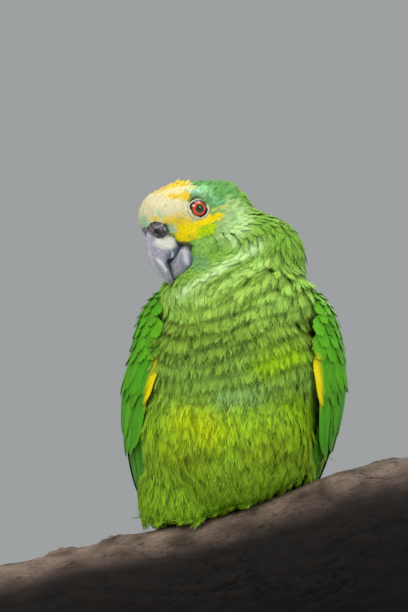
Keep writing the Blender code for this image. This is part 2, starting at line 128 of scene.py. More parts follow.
# A folded wing, shoulder to tip, in the crest frame, as an arc of an ellipse in plan: height, the ellipse's
# centre behind the crest, its half width and half depth, the angles in degrees at which the leading edge and
# the edge on the back lie, and the wing's thickness.
WING_ROWS = [
    (0.125, 0.004, 0.0465, 0.026, -14, 52, 0.003),
    (0.113, 0.006, 0.0555, 0.034, -28, 62, 0.008),
    (0.092, 0.009, 0.0610, 0.043, -34, 70, 0.010),
    (0.066, 0.013, 0.0645, 0.049, -32, 77, 0.010),
    (0.038, 0.020, 0.0600, 0.049, -26, 81, 0.009),
    (0.012, 0.031, 0.0515, 0.043, -12, 83, 0.008),
    (-0.016, 0.0465, 0.0360, 0.033, 18, 83, 0.006),
    (-0.044, 0.0645, 0.0230, 0.021, 50, 82, 0.004),
    (-0.070, 0.0785, 0.0140, 0.012, 50, 80, 0.002),
]
SWAY_HEIGHTS = (0.0, 0.075, 0.090)
SWAY = 0.09

TAIL_ROOT = Vector((-0.007, 0.060, -0.002))
TAIL_TIP = Vector((-0.007, 0.092, -0.104))
TAIL_HALF_WIDTHS = (0.013, 0.018, 0.0215, 0.024, 0.025, 0.0245, 0.019)
TAIL_BOW = 0.003
TAIL_FEATHERS = 12

# The branch.
PERCH_ENDS = (-0.150, 0.115)
PERCH_SLOPE = 0.27
PERCH_RADII = (0.0360, 0.0470)
PERCH_SADDLE = 0.0045

# Feather sizes at named places of the body: frame, place, length, half width, how far tips stand off, and how
# loose and frayed the vane is. Places on the head hold for both sides.
FEATHER_PLACES = {
    "lore": ("bill", (-0.004, 0.013, 0.002), 0.0036, 0.0012, 0.0002, 0.2),
    "forehead": ("bill", (0.001, 0.000, 0.009), 0.0042, 0.0013, 0.0003, 0.3),
    "front_crown": ("bill", (-0.016, 0.006, 0.015), 0.0062, 0.0018, 0.0008, 0.5),
    "brow": ("bill", (-0.025, 0.018, 0.009), 0.0042, 0.0014, 0.0003, 0.2),
    "crown": ("bill", (-0.036, 0.008, 0.012), 0.0078, 0.0026, 0.0010, 0.2),
    "under_eye": ("bill", (-0.018, 0.018, -0.008), 0.0044, 0.0014, 0.0003, 0.3),
    "malar": ("bill", (-0.011, 0.014, -0.010), 0.0042, 0.0013, 0.0003, 0.3),
    "ear": ("bill", (-0.037, 0.020, -0.012), 0.0086, 0.0017, 0.0004, 0.4),
    "chin": ("bill", (-0.013, 0.010, -0.028), 0.0062, 0.0015, 0.0005, 0.4),
    "cheek": ("bill", (-0.022, 0.018, -0.024), 0.0088, 0.0017, 0.0005, 0.4),
    "occiput": ("bill", (-0.056, 0.010, -0.004), 0.0115, 0.0028, 0.0012, 0.2),
    "throat": ("crest", (-0.036, -0.018, 0.122), 0.0130, 0.0028, 0.0005, 0.8),
    "neck_side": ("crest", (0.004, -0.020, 0.138), 0.0180, 0.0023, 0.0005, 0.8),
    "fold_low": ("crest", (-0.022, -0.024, 0.123), 0.0170, 0.0022, 0.0004, 0.8),
    "fold_high": ("crest", (0.014, -0.015, 0.151), 0.0170, 0.0024, 0.0005, 0.8),
    "ruff": ("crest", (0.034, -0.006, 0.140), 0.0160, 0.0038, 0.0015, 0.4),
    "nape": ("crest", (0.022, 0.024, 0.150), 0.0150, 0.0044, 0.0012, 0.4),
    "upper_breast": ("crest", (-0.012, -0.034, 0.108), 0.0130, 0.0036, 0.0006, 0.9),
    "breast": ("crest", (0.000, -0.042, 0.080), 0.0145, 0.0040, 0.0006, 1.0),
    "belly": ("crest", (-0.005, -0.038, 0.042), 0.0165, 0.0036, 0.0009, 1.2),
    "vent": ("crest", (-0.005, -0.016, 0.006), 0.0160, 0.0036, 0.0005, 1.2),
    "left_flank": ("crest", (0.042, -0.008, 0.045), 0.0170, 0.0044, 0.0006, 1.1),
    "right_flank": ("crest", (-0.048, -0.008, 0.040), 0.0170, 0.0044, 0.0006, 1.1),
    "mantle": ("crest", (0.000, 0.044, 0.105), 0.0150, 0.0064, 0.0008, 0.1),
    "back": ("crest", (0.000, 0.056, 0.070), 0.0180, 0.0072, 0.0008, 0.1),
    "rump": ("crest", (0.000, 0.066, 0.030), 0.0190, 0.0070, 0.0008, 0.3),
    "tail_coverts": ("crest", (-0.007, 0.074, -0.010), 0.0300, 0.0076, 0.0006, 0.1),
    "under_tail": ("crest", (-0.007, 0.050, -0.020), 0.0200, 0.0070, 0.0006, 0.5),
    "left_thigh": ("crest", (0.021, 0.039, 0.012), 0.0110, 0.0036, 0.0008, 0.8),
    "right_thigh": ("crest", (-0.021, 0.039, 0.004), 0.0110, 0.0036, 0.0008, 0.8),
}
# The pieces of the coat, and the places whose feathers each holds.
COATS = {
    "coat_face": ("lore", "forehead", "front_crown", "brow", "under_eye", "malar"),
    "coat_head": ("crown", "ear", "chin", "cheek", "occiput"),
    "coat_neck": ("throat", "neck_side", "fold_low", "fold_high", "ruff", "nape"),
    "coat_breast": ("upper_breast", "breast"),
    "coat_belly": ("belly", "vent"),
    "coat_flanks": ("left_flank", "right_flank", "left_thigh", "right_thigh"),
    "coat_back": ("mantle", "back", "rump"),
    "coat_coverts": ("tail_coverts", "under_tail"),
}
FEATHER_SPACING = 0.50  # of the root of length times half width
ROOT_TRIES = 90000
FACE_REACH = 0.05  # from the bill's root; inside it the roots are tried more densely
FACE_TRIES = 6.0
WALK_STEPS = 5
VANE_VARIANTS = 5
ROOT_SHADES = {"coat_face": 0.85, "coat_head": 0.72}  # the brightness of a feather's root; others have 0.55
BARB_STREAKS = {"coat_face": 0.06, "coat_head": 0.12}  # how much its barbs differ; others have 0.32

# Colours, linear.
CREAM = (0.74, 0.68, 0.41)
PALE_YELLOW = (0.62, 0.66, 0.16)
PALE_TURQUOISE = (0.38, 0.64, 0.40)
YELLOW = (0.97, 0.75, 0.003)
CROWN_YELLOW = (0.76, 0.53, 0.015)
DEEP_CREAM = (0.80, 0.62, 0.22)
LIME = (0.47, 0.70, 0.004)
TURQUOISE_GREEN = (0.17, 0.46, 0.19)
CROWN_GREEN = (0.11, 0.32, 0.07)
PALE_GREEN = (0.44, 0.67, 0.25)
CHIN_GREEN = (0.20, 0.42, 0.14)
NAPE_GREEN = (0.17, 0.36, 0.03)
THROAT_GREEN = (0.31, 0.56, 0.08)
BREAST_GREEN = (0.18, 0.31, 0.025)
BELLY_GREEN = (0.31, 0.55, 0.012)
BELLY_YELLOW = (0.50, 0.64, 0.002)
VENT_GREEN = (0.21, 0.40, 0.010)
BACK_GREEN = (0.07, 0.27, 0.025)
EMERALD = (0.045, 0.31, 0.006)
WING_EDGE = (0.16, 0.47, 0.02)
PRIMARY_BLUE = (0.010, 0.040, 0.14)
FLIGHT_BLACK = (0.012, 0.020, 0.018)
TAIL_RED = (0.42, 0.035, 0.010)
TAIL_TIP_GREEN = (0.30, 0.50, 0.03)
DARK_OLIVE = (0.030, 0.050, 0.010)
CERE_BLACK = (0.035, 0.032, 0.036)


# ---------------------------------------------------------------- frames and small tools


def crest_frame():
    return Matrix.Translation(CREST)


def bill_frame():
    """The frame of the turned and nodding head, with its origin between the nostrils."""
    turned = Matrix.Rotation(-math.pi / 2 - HEAD_TURN, 4, "Z")
    nodded = Matrix.Rotation(HEAD_NOD, 4, "Y")
    return crest_frame() @ Matrix.Translation(BILL_ROOT) @ turned @ nodded


def moved(points, frame):
    """The points, an array of n x 3, through this matrix."""
    whole = np.array(frame)
    return points @ whole[:3, :3].T + whole[:3, 3]


def in_crest(points):
    return points - np.array(CREST)


def folded(local):
    """Places in the bill frame, with both sides of the head folded onto its left."""
    return np.stack([local[:, 0], np.abs(local[:, 1]), local[:, 2]], axis=1)


def in_bill(points):
    """World places in the bill frame, with both sides of the head folded onto its left."""
    return folded(moved(points, bill_frame().inverted()))


def from_centre(local, centre, radii):
    """How far each place lies from the middle of an ellipsoid, as a share: 1 on its surface."""
    return np.linalg.norm((local - np.array(centre)) / np.array(radii), axis=1)


def from_eye(points):
    """How far each world place lies from the middle of the nearer eye, in the lids' oval measure."""
    return np.linalg.norm((in_bill(points) - EYE_PLACE) * EYE_STRETCH, axis=1)


def smoothstep(low, high, x):
    """0 below low, 1 above high, and a smooth curve between them."""
    t = np.clip((x - low) / (high - low), 0, 1)
    return t * t * (3 - 2 * t)


def unit(vectors):
    return vectors / np.maximum(np.linalg.norm(vectors, axis=-1, keepdims=True), 1e-9)


def mixed(a, b, weight):
    """Rows of a moved towards b by each row's weight."""
    return np.asarray(a) + (np.asarray(b) - np.asarray(a)) * weight[..., None]


FULL_TURN = 6.283  # 2 pi, rounded: the exact value would shift every marking a little


def ripple(points, scale, seed=0):
    """Soft, repeatable unevenness, mostly from -1 to 1: sines across the point in five fixed directions."""
    rng = np.random.default_rng(seed)
    total = np.zeros(len(points))
    for k in range(5):
        way = unit(rng.normal(size=3))
        total += np.sin(points @ way * (FULL_TURN / scale) * (0.7 + 0.3 * k) + rng.uniform(0, FULL_TURN))
    return total / 3


def smooth_rows(rows, t):
    """The columns at each t, from 0 to 1, on a smooth curve through evenly spaced rows of numbers."""
    table = np.array(rows, float)
    place = np.clip(t, 0, 1) * (len(table) - 1)
    i = np.minimum(place.astype(int), len(table) - 2)
    f = (place - i)[..., None]
    a, b, c, d = (table[np.clip(i + k, 0, len(table) - 1)] for k in (-1, 0, 1, 2))
    value = b + 0.5 * f * (c - a + f * (2 * a - 5 * b + 4 * c - d + f * (3 * (b - c) + d - a)))
    return np.moveaxis(value, -1, 0)


def lerp(a, b, share):
    return a + (b - a) * share


def linked(name, data):
    """A new object with this data, in the scene."""
    made = bpy.data.objects.new(name, data)
    bpy.context.scene.collection.objects.link(made)
    return made


def mesh_object(name, points, faces, finish, smooth=True):
    """A new object from an array of points and lists or arrays of faces, in world space."""
    mesh = bpy.data.meshes.new(name)
    mesh.from_pydata([tuple(p) for p in points], [], [tuple(f) for f in faces])
    mesh.materials.append(finish)
    if smooth:
        mesh.shade_smooth()
    return linked(name, mesh)


def paint(obj, colours):
    """Stores one linear colour for each vertex."""
    layer = obj.data.color_attributes.new("plume", "FLOAT_COLOR", "POINT")
    whole = np.ones((len(obj.data.vertices), 4), np.float32)
    whole[:, :3] = np.clip(colours, 0, 1)
    layer.data.foreach_set("color", whole.ravel())


def vertices_of(obj, value="co"):
    """The place, or another value of three numbers, of each vertex."""
    found = np.empty(len(obj.data.vertices) * 3, np.float32)
    obj.data.vertices.foreach_get(value, found)
    return found.reshape(-1, 3).astype(float)


def reshaped(obj, points, finish):
    """Moves obj's vertices to these points, and gives it this finish alone."""
    obj.data.vertices.foreach_set("co", points.astype(np.float32).ravel())
    obj.data.materials.clear()
    obj.data.materials.append(finish)
    obj.data.shade_smooth()


def apply_modifiers(obj):
    """Gives obj the mesh that its modifiers make, and drops them."""
    bpy.context.view_layer.update()
    graph = bpy.context.evaluated_depsgraph_get()
    mesh = bpy.data.meshes.new_from_object(obj.evaluated_get(graph))
    obj.modifiers.clear()
    obj.data = mesh
    return obj


def body_piece(obj, slot, *nodes):
    """Makes obj ride on the model, in place of these nodes; slot is not used."""
    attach(obj, "root")
    if nodes:
        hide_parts(*nodes)
    return obj


# ---------------------------------------------------------------- markings

# Marks on the head, laid on in this order: the two ends of a stroke and its radii in the bill frame, in
# millimetres, then softness and colour.
HEAD_MARKS = [
    ((-42, 10, 6), (-42, 10, 6), (26, 18, 14), 0.4, CROWN_GREEN),
    ((-38, 20, -16), (-44, 20, -14), (11, 10, 11), 0.5, PALE_GREEN),
    ((-26, 13, 11), (-34, 12, 8), (4.5, 6, 4), 0.8, (0.27, 0.56, 0.25)),
    ((-27, 14, 8), (-34, 18, 1.5), (3.0, 5, 2.4), 0.8, (0.30, 0.58, 0.27)),
    ((-34, 17, 2), (-38, 19, -2), (3.0, 5, 1.6), 0.7, TURQUOISE_GREEN),
    ((-15, 15, -19), (-19, 17, -20), (5, 9, 4.5), 0.5, (0.30, 0.56, 0.11)),
    ((-12, 11, -26), (-13, 14, -30), (5, 9, 3.5), 0.5, CHIN_GREEN),
    ((-13, 15.5, -1), (-18, 17.5, -3.6), (3.0, 5, 2.6), 0.6, (0.72, 0.60, 0.16)),
    # An olive-grey mark under the front of the eye: painted shade in the fold below the lids.
    ((-19, 17, -3.5), (-25, 18, -5.4), (3.0, 4, 1.8), 0.7, (0.50, 0.50, 0.26)),
    ((-18, 18, -11.5), (-25, 19, -12), (3.6, 6, 3.2), 0.7, LIME),
    ((-11, 14, -5), (-13, 15, -9), (4.8, 6, 4.4), 0.4, YELLOW),
    ((-7.2, 12, -4.6), (-10, 12, -11.5), (3.0, 5, 2.6), 0.4, YELLOW),
    ((-18, 18, -7), (-33, 20, -8), (2.4, 6, 2.0), 0.4, YELLOW),
    ((-31, 19.5, -3.4), (-40, 19, -5), (1.4, 5, 0.9), 0.6, PALE_YELLOW),
    ((2, 2, 6), (-10, 9, 9), (8.0, 12, 8.5), 0.25, CREAM),
    ((0, 0, 12), (-13, 5, 15), (6.0, 9, 5.0), 0.3, CREAM),
    ((-9, 14, 5), (-17, 16, 4), (4.6, 6, 4.6), 0.3, CREAM),
    ((-18, 7, 15), (-27, 9, 13.5), (4.0, 5, 3.0), 0.5, (0.68, 0.63, 0.22)),
    ((-14, 0, 17), (-24, 3, 17), (5.0, 6, 3.0), 0.5, (0.72, 0.58, 0.15)),
    ((-12, 8, 14.2), (-22, 12, 12.4), (3.0, 4, 2.4), 0.6, (0.72, 0.64, 0.29)),
    ((-12, 10.5, 13.4), (-20, 15, 9.2), (1.8, 3.4, 1.5), 0.9, CROWN_YELLOW),
    ((-19, 15, 9.5), (-23.5, 13.5, 11), (1.8, 3.0, 1.7), 0.7, CROWN_YELLOW),
    ((-19, 9, 14.4), (-25, 10.5, 13.6), (1.6, 1.8, 1.2), 0.9, CREAM),
    ((-20, 2, 17), (-26, 6, 15.5), (3.0, 4.0, 1.6), 0.8, CROWN_YELLOW),
    ((-25, 13, 11), (-29, 14, 9.4), (1.7, 3.0, 1.1), 0.9, (0.44, 0.68, 0.50)),
    ((-7, 14.7, 3), (-12, 16, 2), (2.0, 5, 1.4), 1.0, DEEP_CREAM),
    ((1.5, 6.5, 6), (-3, 12.5, 3.6), (1.2, 3, 1.1), 0.8, (0.80, 0.64, 0.10)),
    ((-4, 13.5, 1.2), (-12, 15.5, -2.4), (2.4, 4, 1.9), 0.8, (0.80, 0.60, 0.05)),
    ((-4.2, 11.6, -1.6), (-5.4, 12.2, -5.4), (1.2, 3, 1.6), 0.9, (0.42, 0.60, 0.42)),
    ((3, 0, 6.5), (3.4, 2, 3), (2.2, 3.0, 1.8), 0.9, PALE_TURQUOISE),
    ((-1.3, 10.4, 8), (-1.6, 11, 5), (0.8, 2, 0.8), 0.9, PALE_TURQUOISE),
    ((-2.2, 10.4, -0.6), (-1.4, 9, -4), (2.2, 3, 1.8), 0.4, CERE_BLACK),
    # A dark mark round the corner of the gape: painted shade in the corner of the mouth.
    ((-7.5, 9.5, -15.5), (-11, 11, -17.5), (3.2, 4.5, 2.8), 0.4, CERE_BLACK),
    # A near black mark round the eye, over what shows between the eyeball and the lids: painted shade in the
    # socket.
    ((-23.7, 13.8, 0.3), (-23.7, 13.8, 0.3), (5.5, 8, 5.0), 0.2, (0.05, 0.045, 0.03)),
]
# Folds of the neck, painted as light and shade over the turned side: pale bands on the folds' ridges and dark
# lines of shade between them. Both ends in x and height, half width, colour, strength.
NECK_FOLD_SHADING = [
    ((-0.038, 0.1180), (0.018, 0.1530), 0.0026, (0.52, 0.75, 0.30), 1.00),
    ((-0.030, 0.1160), (0.016, 0.1460), 0.0012, (0.09, 0.19, 0.01), 0.80),
    ((-0.028, 0.1135), (0.022, 0.1430), 0.0024, (0.43, 0.66, 0.14), 0.90),
    ((-0.020, 0.1110), (0.024, 0.1375), 0.0012, (0.11, 0.18, 0.005), 0.80),
    ((-0.018, 0.1080), (0.030, 0.1345), 0.0024, (0.36, 0.56, 0.08), 0.75),
    ((-0.012, 0.1055), (0.034, 0.1300), 0.0013, (0.10, 0.17, 0.01), 0.75),
]
# Raised feathers on the front crown and behind the crown: place in the bill frame, reach, height.
TUFTS = [((-0.024, 0.004, 0.0155), 0.008, 0.0024), ((-0.055, 0.004, 0.004), 0.015, 0.0026)]
# Colours down the front of the body: height over the crest, colour.
FRONT_COLOURS = [
    (0.165, NAPE_GREEN),
    (0.140, (0.22, 0.44, 0.05)),
    (0.118, THROAT_GREEN),
    (0.095, BREAST_GREEN),
    (0.070, (0.22, 0.41, 0.05)),
    (0.045, BELLY_GREEN),
    (0.022, (0.26, 0.46, 0.018)),
    (0.000, VENT_GREEN),
    (-0.060, (0.16, 0.36, 0.03)),
]
# Marks on the body, in the same way in the crest frame.
BODY_MARKS = [
    ((17, -40, 79), (34, -34, 85), (9, 14, 6), 0.8, (0.30, 0.54, 0.004)),
    ((-7, -42, 61), (8, -40, 62), (6, 14, 4), 1.0, (0.25, 0.46, 0.11)),
    ((-28, -36, 48), (-14, -40, 42), (9, 14, 8), 1.0, BELLY_YELLOW),
    ((-40, -30, 30), (-20, -34, 24), (8, 14, 8), 1.0, (0.32, 0.50, 0.010)),
    ((10, -40, 30), (32, -28, 40), (9, 14, 7), 1.0, (0.28, 0.44, 0.010)),
    ((34, -28, 58), (44, -18, 46), (7, 16, 6), 0.8, (0.28, 0.50, 0.006)),
    # The last two marks are thin dark bands low on the belly: painted shade.
    ((-32, -34, 24), (-18, -38, 29), (7, 14, 2.6), 1.0, (0.15, 0.23, 0.006)),
    ((20, -36, 24), (36, -26, 30), (7, 14, 2.4), 1.0, (0.15, 0.23, 0.006)),
]


def marked(colours, local, marks, uneven):
    """The colours with these marks laid over them in turn, their outlines shifted by uneven."""
    for start, end, radii, soft, colour in marks:
        start, end, radii = (np.array(value) * 0.001 for value in (start, end, radii))
        run = (end - start) / radii
        from_start = (local - start) / radii
        share = np.clip(from_start @ run / max(run @ run, 1e-9), 0, 1)
        reach = np.linalg.norm(from_start - share[:, None] * run, axis=1) + 0.22 * uneven
        weight = 1 - smoothstep(1 - soft, 1 + soft, reach)
        colours = mixed(colours, colour, weight)
    return colours


BREAST_ROW = 0.0085
ROW_END = 0.10  # where on its row a feather of the breast ends


def breast_rows(body):
    """How far up its row each place on the breast lies, from 0 to 1, and how plainly the rows show there.

    The rows hang in swags, lowest on the bird's right and rising the whole way to its left."""
    x, z = body[:, 0] + 0.027, body[:, 2]
    sag = z - 0.36 * (np.hypot(x, 0.012) - 0.012) - 8 * np.minimum(x, 0) ** 2
    sag = sag + 0.0022 * ripple(body, 0.030, 14)
    showing = smoothstep(0.050, 0.075, z) * (1 - smoothstep(0.116, 0.128, z - 0.4 * body[:, 0]))
    uneven = np.clip(0.75 + 0.35 * ripple(body, 0.025, 15), 0, 1)
    return (sag / BREAST_ROW) % 1, showing * uneven * (body[:, 1] < 0.01)


def plumage_colour(points):
    """The bird's markings over its head and body, for points in world space."""
    body = in_crest(points)
    head = in_bill(points)
    heights, tones = zip(*FRONT_COLOURS[::-1])
    level = body[:, 2] + 0.004 * ripple(body, 0.03, 1)
    colours = np.stack([np.interp(level, heights, channel) for channel in zip(*tones)], axis=1)
    # The rows of the breast show as pale edges over dark lines; the dark lines are partly the feathers' own
    # dark edging and partly painted shade under the ends of the rows.
    phase, on_breast = breast_rows(body)
    line = sum(np.exp(-(((phase - ROW_END - turn) / 0.12) ** 2)) for turn in (0, 1))
    pale = np.exp(-(((phase - 0.42) / 0.18) ** 2))
    colours = colours * (1 + on_breast * (0.28 * pale - 0.78 * line))[:, None]
    # The folds of the neck: painted light on their ridges and painted shade between them.
    for (x0, z0), (x1, z1), half_width, colour, strength in NECK_FOLD_SHADING:
        run = np.array((x1 - x0, z1 - z0))
        at = body[:, [0, 2]] - (x0, z0)
        share = at @ run / (run @ run)
        off = np.abs(at @ (-run[1], run[0])) / np.linalg.norm(run) / half_width
        fold = np.exp(-(off**2)) * smoothstep(-0.05, 0.15, share) * (1 - smoothstep(0.85, 1.1, share))
        colours = mixed(colours, colour, strength * fold * (body[:, 1] < 0.01))
    behind = smoothstep(0.016, 0.040, body[:, 1])
    colours = mixed(colours, BACK_GREEN, 0.85 * behind)
    colours = marked(colours, body, BODY_MARKS, ripple(body, 0.012, 2))
    on_head = 1 - smoothstep(0.052, 0.068, np.linalg.norm(head, axis=1))
    marks = marked(colours, head, HEAD_MARKS, ripple(head, 0.006, 3))
    return mixed(colours, marks, on_head)


# How dark the edges of the feathers are at named places; elsewhere they follow the nearest of these.
SCALLOPS = {
    "crown": 0.85, "occiput": 0.75, "ear": 0.12, "cheek": 0.15, "throat": 0.35, "neck_side": 0.25,
    "fold_low": 0.25, "fold_high": 0.25, "ruff": 0.80, "nape": 0.80, "upper_breast": 0.70,
    "breast": 0.75, "belly": 0.35, "vent": 0.25, "left_flank": 0.40, "right_flank": 0.40,
    "mantle": 0.55, "back": 0.45, "rump": 0.2, "tail_coverts": 0.2, "under_tail": 0.2,
    "left_thigh": 0.2, "right_thigh": 0.2,
}


def place_weights(points):
    """How much each of the named places counts at each point: the nearest count the most."""
    body, head = in_crest(points), in_bill(points)
    weights = []
    for frame, place, *_ in FEATHER_PLACES.values():
        local = head if frame == "bill" else body
        weights.append(1 / (np.linalg.norm(local - place, axis=1) ** 4 + 1e-12))
    weights = np.stack(weights, axis=1)
    return weights / weights.sum(axis=1, keepdims=True)


def feather_sizes(weights):
    """Length, half width, stand-off and looseness at each point."""
    sizes = np.array([row[2:] for row in FEATHER_PLACES.values()])
    return (weights @ sizes).T


def scallop_strength(weights):
    """How dark the feathers' edges are at each point."""
    return weights @ np.array([SCALLOPS.get(name, 0.0) for name in FEATHER_PLACES])


NECK_DRAWN = ((-0.004, -0.022, 0.136), 0.030)  # a place on the neck's side, and how far its draw reaches


def lie(points, normals):
    """Which way a feather points here: back from the bill over the head, and down the body."""
    frame = bill_frame()
    head = moved(points, frame.inverted())
    back = unit(head - (0.004, 0, -0.004)) * (1, 1, 0.9) + (-0.15, 0, 0)
    back = back @ np.array(frame.to_3x3()).T
    body = in_crest(points)
    backward = 0.10 + 0.35 * smoothstep(0.0, 0.05, body[:, 1])
    down = np.stack([0.10 * ripple(body, 0.05, 4), backward, -np.ones(len(points))], axis=1)
    on_body = smoothstep(0.046, 0.080, np.linalg.norm(head, axis=1))
    way = mixed(unit(back), unit(down), on_body)
    # The turned head draws the feathers of the neck's side forwards along its folds.
    drawn = np.exp(-((np.linalg.norm(body - NECK_DRAWN[0], axis=1) / NECK_DRAWN[1]) ** 2))
    way = mixed(way, unit(np.array((-0.85, -0.10, -0.52))), 0.85 * drawn)
    way = way - normals * (way * normals).sum(axis=1, keepdims=True)
    return unit(way)


# ---------------------------------------------------------------- vanes


SHAFT_LENGTHS = 8  # faces along a shaft


def outline_width(u, tip):
    """Half width of a vane at u along it, as a share: narrow at the root, round at the tip."""
    root = np.clip(0.30 + 2.4 * u, 0, 1)
    return root * np.sqrt(np.clip(1 - (np.clip(u - 1 + tip, 0, 1) / tip) ** 2, 0, 1))


def vane_template(barbs, fray, seed, tip=0.5, joined=0.8, sweep=0.0, shaft=False):
    """A flat vane: u along it, v across it in half widths, f from the shaft to the rim, and its faces.

    It is one layer of faces with no thickness, in two halves that meet at the shaft. Neighbouring barbs share
    their edges up to f = joined, and end in teeth of their own. Sweep lays the barbs more nearly along the
    shaft."""
    rng = np.random.default_rng(seed)
    u, v, f, rise, line, faces = [], [], [], [], [], []

    def corner(along, across, share, up, barb):
        for values, value in zip((u, v, f, rise, line), (along, across, share, up, barb)):
            values.append(value)
        return len(u) - 1

    def barb_point(q, share, side):
        start, end = (0.93 - 0.28 * sweep) * q**1.15, 1 - (1 - q) ** (1.7 + 0.6 * sweep)
        along = start + (end - start) * share**1.25
        return along, side * share * outline_width(np.float64(end), tip)

    for side in (1, -1):
        rows = []
        first = 0 if side == 1 else barbs + 1
        for j in range(barbs + 1):
            q = j / barbs
            up = 0.5 * (j % 2) * (0 < j < barbs)
            shares = (0, 0.55 * joined, joined)
            rows.append([corner(*barb_point(q, s, side), s, up * s, first + j) for s in shares])
        for j in range(barbs):
            quads = [[rows[j][k], rows[j + 1][k], rows[j + 1][k + 1], rows[j][k + 1]] for k in (0, 1)]
            reach = 1 + fray * rng.uniform(-0.45, 0.30)
            gap = 0.10 + 0.5 * fray * rng.uniform(0.2, 1)
            tips = [barb_point((j + g) / barbs, reach, side) for g in (1 - gap, gap)]
            ends = [corner(*tip_point, 1, 0.3, first + j) for tip_point in tips]
            quads.append([rows[j][2], rows[j + 1][2], *ends])
            faces += quads if side == 1 else [quad[::-1] for quad in quads]
    if shaft:
        for j in range(SHAFT_LENGTHS):
            edge = [
                corner(0.96 * end, w * (1.05 - end), 0, 1.2, 0)
                for end in (j / SHAFT_LENGTHS, (j + 1) / SHAFT_LENGTHS)
                for w in (-0.05, 0.05)
            ]
            faces.append([edge[0], edge[2], edge[3], edge[1]])
    names = ("u", "v", "f", "rise", "line", "faces")
    return dict(zip(names, map(np.array, (u, v, f, rise, line, faces))))


def along_rows(rows, u):
    """Values at u, from rows evenly spaced along each feather: rows are M x R x 3, the result M x P x 3."""
    place = np.clip(u, 0, 1) * (rows.shape[1] - 1)
    i = np.minimum(place.astype(int), rows.shape[1] - 2)
    share = (place - i)[None, :, None]
    inside = rows[:, i] * (1 - share) + rows[:, i + 1] * share
    beyond = (np.maximum(u, 1) - 1)[None, :, None] * (rows[:, -1:] - rows[:, -2:-1]) * (rows.shape[1] - 1)
    return inside + beyond


def vane_points(template, middle, left, right):
    """Where each vane's vertices lie, on the curve through its left, middle and right points."""
    u, across = template["u"], template["v"][None, :, None]
    base, a, b = (along_rows(rows, u) for rows in (middle, left, right))
    return base + across * (a - b) / 2 + across**2 * ((a + b) / 2 - base)


def vanes(template, middle, left, right, normals, sink, off, tilt, arch, ridge, colours, roots):
    """Lays a vane on each feather's rows of middle, left and right points.

    sink: how deep the root lies; off: how far the tip stands out; tilt: how much higher the left edge lies;
    arch: how far the edges bend down; ridge: the height of the barbs; colours: M x P x 3; roots: M x 2 places
    in the map.
    """
    u, v = template["u"], template["v"]
    points = vane_points(template, middle, left, right)
    height = (
        -sink[:, None] * (1 - u) ** 1.5
        + off[:, None] * u**2
        + tilt[:, None] * v
        - arch[:, None] * v**2
        + ridge * template["rise"]
    )
    points += unit(along_rows(normals, u)) * height[..., None]
    patch = np.stack([v * 0.5 + 0.5, u], axis=1) * 0.003 - 0.0015
    maps = roots[:, None, :] + patch[None]
    count, corners = points.shape[:2]
    faces = template["faces"][None] + (np.arange(count) * corners)[:, None, None]
    return points.reshape(-1, 3), faces.reshape(-1, 4), colours.reshape(-1, 3), maps.reshape(-1, 2)


def coat_piece(name, batches, finish):
    """One mesh of many vanes, with their colours and the OFBake map."""
    starts = np.cumsum([0] + [len(batch[0]) for batch in batches[:-1]])
    points = np.concatenate([batch[0] for batch in batches])
    faces = np.concatenate([batch[1] + start for batch, start in zip(batches, starts)])
    colours = np.concatenate([batch[2] for batch in batches])
    maps = np.concatenate([batch[3] for batch in batches])
    mesh = bpy.data.meshes.new(name)
    mesh.vertices.add(len(points))
    mesh.vertices.foreach_set("co", points.astype(np.float32).ravel())
    mesh.loops.add(faces.size)
    mesh.loops.foreach_set("vertex_index", faces.astype(np.int32).ravel())
    mesh.polygons.add(len(faces))
    mesh.polygons.foreach_set("loop_start", np.arange(0, faces.size, 4, dtype=np.int32))
    mesh.update(calc_edges=True)
    layer = mesh.uv_layers.new(name="OFBake")
    layer.data.foreach_set("uv", maps[faces.ravel()].astype(np.float32).ravel())
    mesh.materials.append(finish)
    mesh.shade_smooth()
    made = linked(name, mesh)
    paint(made, colours)
    return made


def vane_colours(template, base, edge, rng, dark_root=0.6, edge_from=0.66, streak=0.16, fringe=0, vary=0.08):
    """Each vane's colours: darker at its root, streaked barb by barb, and dark or pale round its tip."""
    u, f = template["u"], template["f"]
    count = len(base)
    bright = rng.normal(1, vary, (count, 1, 1))
    warm = 1 + rng.normal(0, 0.6 * vary, (count, 1, 1)) * np.array([1.0, 0.2, -1.0])
    root = dark_root + (1 - dark_root) * smoothstep(0.0, 0.55, u)
    barbs = rng.normal(0, 1, (count, template["line"].max() + 1))[:, template["line"]]
    rim = smoothstep(edge_from, 1.0, f) * smoothstep(0.25, 0.75, u)
    base = base[:, None, :] if base.ndim == 2 else base
    colours = base * bright * warm * root[None, :, None]
    colours = colours * (1 + streak * barbs * (0.3 + 0.7 * f))[..., None]
    dark = edge[:, None] * rim[None, :] * np.clip(0.75 - 0.5 * barbs, 0, 1)
    pale = fringe * rim[None, :] * np.clip(barbs, 0, 1)
    colours = mixed(colours, DARK_OLIVE, dark)
    return mixed(colours, np.clip(colours * 1.5 + 0.03, 0, 1), pale)


def body_map(points):
    """An unwrap of the body's own shape: the angle round its upright axis, and the height."""
    body = in_crest(points)
    angle = np.arctan2(body[:, 0] + 0.004, -(body[:, 1] - 0.018)) / (2 * np.pi)
    return np.stack([0.5 + 0.96 * angle, 0.02 + 0.96 * (body[:, 2] + 0.120) / 0.330], axis=1)


def head_map(points):
    """An unwrap of the head: the angle round the line from the bill to the nape, and the way along it."""
    local = moved(points, bill_frame().inverted())
    angle = np.arctan2(local[:, 1], local[:, 2] + 0.010) / (2 * np.pi)
    return np.stack([0.5 + 0.96 * angle, 0.02 + 0.96 * (0.012 - local[:, 0]) / 0.110], axis=1)


# ---------------------------------------------------------------- skin and body coat


